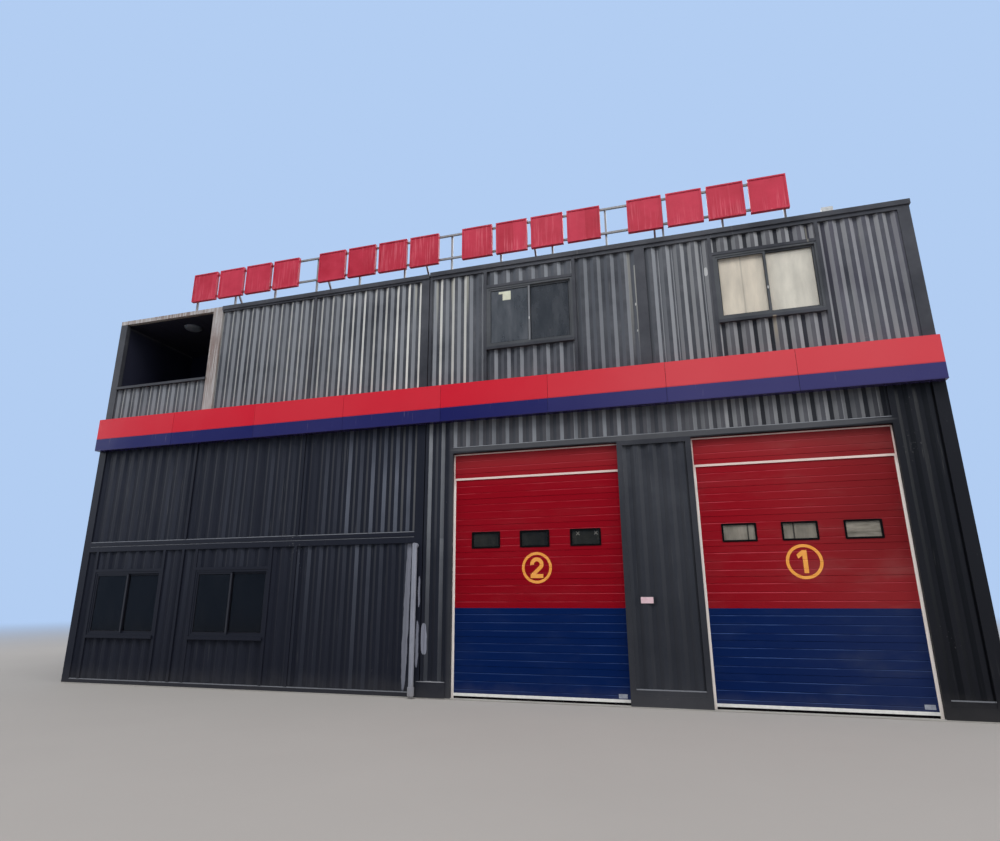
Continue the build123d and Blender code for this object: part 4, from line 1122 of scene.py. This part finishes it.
# %% Pane beads
def bead(low, high, front, out=1):
    """A wedge carried round a pane: each row is the rectangle at one point of the wedge's outline."""
    centre, half = (low + high) / 2, (high - low) / 2
    corners = np.array([[1, 1], [-1, 1], [-1, -1], [1, -1]])
    wedge = np.array([[0.0, 0.0], [0.0, -0.007], [-0.009, -0.002], [-0.009, 0.0]])
    flat = centre + corners[None] * (half + wedge[:, :1])[:, None]
    depth = np.broadcast_to((front + out * wedge[:, 1])[:, None], flat.shape[:2])
    return np.stack([flat[..., 0], depth, flat[..., 1]], axis=-1)


def islands(node):
    """The lowest and highest corners of each separate solid of a node, as an array of (2, 3)."""
    work = bmesh.new()
    work.from_mesh(nodes[node].data)
    bmesh.ops.remove_doubles(work, verts=work.verts, dist=1e-6)
    seen, found = set(), []
    for start in work.verts:
        if start not in seen:
            seen.add(start)
            group = [start]
            for vertex in group:  # the group grows as it is walked, until the solid is complete
                near = {edge.other_vert(vertex) for edge in vertex.link_edges} - seen
                seen |= near
                group.extend(near)
            corners = np.array([vertex.co[:] for vertex in group])
            found.append([corners.min(axis=0), corners.max(axis=0)])
    work.free()
    return np.array(found)


panes = islands("window_glass")
front_panes = panes[panes[:, 0, 1] < 0]
back_panes = panes[panes[:, 0, 1] > 0]
beads = [bead(low[[0, 2]], high[[0, 2]], low[1]) for low, high in front_panes]
beads += [bead(low[[0, 2]], high[[0, 2]], high[1], -1) for low, high in back_panes]
grid_piece("pane_beads", np.array(beads), "gasket_black", round_columns=True, round_rows=True)

# %% [markdown]
# A small pale latch is screwed to the stile where the two sashes of an upper window meet, a little below
# half height. It stands on the sash that slides in the outer track, whose face lies farthest out.

# %% Latches
sashes = islands("window_sashes")
sashes = sashes[sashes[:, 0, 2] > 3]
latches = []
for low, high in sashes:
    side = np.sign(low[1])
    face = low[1] if side < 0 else high[1]
    if abs(face) > np.abs(sashes[:, :, 1]).max() - 0.01:
        centre = (high[0] - 0.021, low[2] + 0.40 * (high[2] - low[2]))
        latches.append(plate(centre, (0.022, 0.060), face, face + side * 0.012, 0.009, 0.003))
grid_piece("sash_latches", np.array(latches), "box_plastic", round_columns=True)

# %% [markdown]
# ## A torn note and the lamp's cover
#
# A scrap of paper is stuck to the left upper window. Its left edge steps out near the top, where a corner
# is torn, and is a little ragged; the right edge is straight. The sheet bulges off the glass by a few
# millimetres between its stuck corners, as the product of two sine arches.

# %% Paper note
NOTE_TOP, NOTE_TEAR, NOTE_FOOT = 8.135, 8.082, 7.93
NOTE_LEFT, BELOW_TEAR, NOTE_RIGHT = 1.225, 1.312, 1.49
NOTE_PANE = (1.0, 6.97)  # low corner (x, z) of the pane that carries the note


def torn_note(pane_face):
    """Rows run down the note; the left edge is a step with a ragged ripple, the right one is straight."""
    z = np.linspace(NOTE_TOP, NOTE_FOOT, 42)
    ripple = 0.0035 * np.sin(z * 310) + 0.0025 * np.sin(z * 127 + 1)
    left = np.where(z > NOTE_TEAR, NOTE_LEFT, BELOW_TEAR) + ripple
    down, across = np.linspace(0, 1, len(z)), np.linspace(0, 1, 24)
    x = left[:, None] + across * (NOTE_RIGHT - left[:, None])
    bulge = 0.006 * np.sin(np.pi * down)[:, None] * np.sin(np.pi * across) ** 2
    return np.stack([x, pane_face - 0.001 - bulge, np.broadcast_to(z[:, None], x.shape)], axis=-1)


note_pane = min(front_panes, key=lambda pane: np.abs(pane[0][[0, 2]] - NOTE_PANE).sum())
note = grid_piece("paper_note", torn_note(note_pane[0][1]), "old_paper", facing=(0, -1, 0))
thicken(note, 0.0004)

# %% [markdown]
# The lamp under the loggia's ceiling is turned about an upright axis. Its profile runs from the middle of
# the flat top out to the rim, round the rim's bead, and back over the domed cover: a quarter of an ellipse.

# %% Lamp cover
def turned(profile, centre, steps=72):
    """Carry a profile of (radius, height) points round an upright axis."""
    angle = np.linspace(0, 2 * np.pi, steps, endpoint=False)
    radius, height = np.array(profile).T
    x = centre[0] + radius[:, None] * np.cos(angle)
    y = centre[1] + radius[:, None] * np.sin(angle)
    return np.stack([x, y, np.broadcast_to(height[:, None], x.shape)], axis=-1)


lamp_low, lamp_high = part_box("ceiling_lamp")
reach, top = (lamp_high.x - lamp_low.x) / 2, lamp_high.z
sweep = np.linspace(0, np.pi / 2, 20)
dome_top = top - 0.035
dome = np.stack([(reach - 0.02) * np.cos(sweep), dome_top - (dome_top - lamp_low.z) * np.sin(sweep)], -1)
rim = [(0, top), (reach - 0.01, top), (reach, top - 0.008), (reach, top - 0.026),
       (reach - 0.008, top - 0.034)]
lamp_cover = grid_piece("lamp_cover", turned(rim + dome.tolist(), (lamp_low + lamp_high) / 2), "lamp_white",
                        round_columns=True)
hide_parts("ceiling_lamp")

# %% [markdown]
# ## Floor and light
#
# A large plain floor takes the shadow. It fades into the background far away, for camera, glossy and
# transmitted rays only, so that the horizon doesn't show as a line. The world is a soft grey light, and
# those same rays see a pale plain sky. A wide soft box high in front does most of the work and throws a
# soft shadow under every rail and sill. Two at the sides lift the slopes of the folds, and one behind
# lights the back.

# %% Floor
SKY = paint(178, 205, 242)
FLOOR_REACH = 240.0
floor_mesh = bpy.data.meshes.new("floor")
corners = [(x * FLOOR_REACH, y * FLOOR_REACH, 0) for x, y in ((-1, -1), (1, -1), (1, 1), (-1, 1))]
floor_mesh.from_pydata(corners, [], [(0, 1, 2, 3)])
floor = bpy.data.objects.new("floor", floor_mesh)
bpy.context.scene.collection.objects.link(floor)
floor.location.z = -0.002
floor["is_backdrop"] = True


def seen_directly(tree):
    """1 for rays from the camera, or mirrored or let through by a surface; 0 for those that carry light."""
    ray = tree.nodes.new("ShaderNodeLightPath").outputs
    return largest(*(Value(ray[kind]) for kind in ("Is Camera Ray", "Is Glossy Ray", "Is Transmission Ray")))


def shown_where(share, plain, pale, end):
    """Mix the pale shader over the plain one by a share, and send the result to the tree's end."""
    mixed = add_node("ShaderNodeMixShader", {0: share, 1: plain, 2: pale})
    mixed.tree.links.new(mixed.socket, mixed.tree.nodes[end].inputs[0])


shader, place = start_material("studio_floor", Roughness=0.9, Specular_IOR_Level=0.2)
cloud = cloudy_tone(place, 0.35, 0.8)
close_material(shader, blend(cloud, (156, 151, 146), (164, 159, 154)))
far = between(add_node("ShaderNodeVectorMath", {0: place}, "Value", operation="LENGTH"), 16.0, 48.0)
glow = add_node("ShaderNodeEmission", {"Color": SKY, "Strength": 1.0}, tree=place.tree)
shown_where(far * seen_directly(place.tree), Value(shader.outputs[0]), glow, "Material Output")
floor_mesh.materials.append(MATERIALS["studio_floor"])
print("floor reaches", FLOOR_REACH, "m each way")

# %% World and lamps
world = bpy.data.worlds.new("studio")
bpy.context.scene.world = world
world.use_nodes = True
tree = world.node_tree
soft = tree.nodes["Background"]
soft.inputs["Color"].default_value = paint(206, 214, 226)
soft.inputs["Strength"].default_value = 0.55
pale = add_node("ShaderNodeBackground", {"Color": SKY, "Strength": 1.0}, tree=tree)
shown_where(seen_directly(tree), Value(soft.outputs[0]), pale, "World Output")


def soft_box(name, azimuth, elevation, away, size, watts, aim=(0.0, -6.0, 4.5)):
    """A wide rectangular lamp: azimuth to the right of straight out from the front, turned to its aim."""
    side, rise = math.radians(azimuth), math.radians(elevation)
    out = Vector((math.sin(side) * math.cos(rise), -math.cos(side) * math.cos(rise), math.sin(rise)))
    lamp = bpy.data.lights.new(name, "AREA")
    lamp.shape, lamp.size, lamp.size_y = "RECTANGLE", *size
    lamp.energy = watts
    holder = bpy.data.objects.new(name, lamp)
    holder.location = Vector(aim) + out * away
    holder.rotation_mode = "QUATERNION"
    holder.rotation_quaternion = out.to_track_quat("Z", "Y")
    holder.visible_camera = False
    bpy.context.scene.collection.objects.link(holder)


soft_box("high_front_box", 6, 58, 40, (30, 20), 13400)
soft_box("right_box", 72, 15, 42, (18, 16), 6000)
soft_box("left_box", -72, 15, 42, (18, 16), 4500)
soft_box("back_box", 172, 40, 44, (26, 16), 12000)
bpy.context.scene.view_settings.view_transform = "Standard"
print("four soft boxes and a pale world")

# %% [markdown]
# ## Measure and close
#
# The dressed model has to fill the same box as the solids, so both boxes' sizes are printed.

# %% Boxes
new_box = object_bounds()
for label, box in (("solids", cad_box), ("dressed", new_box)):
    print(label, [round(high - low, 3) for low, high in zip(*box)])
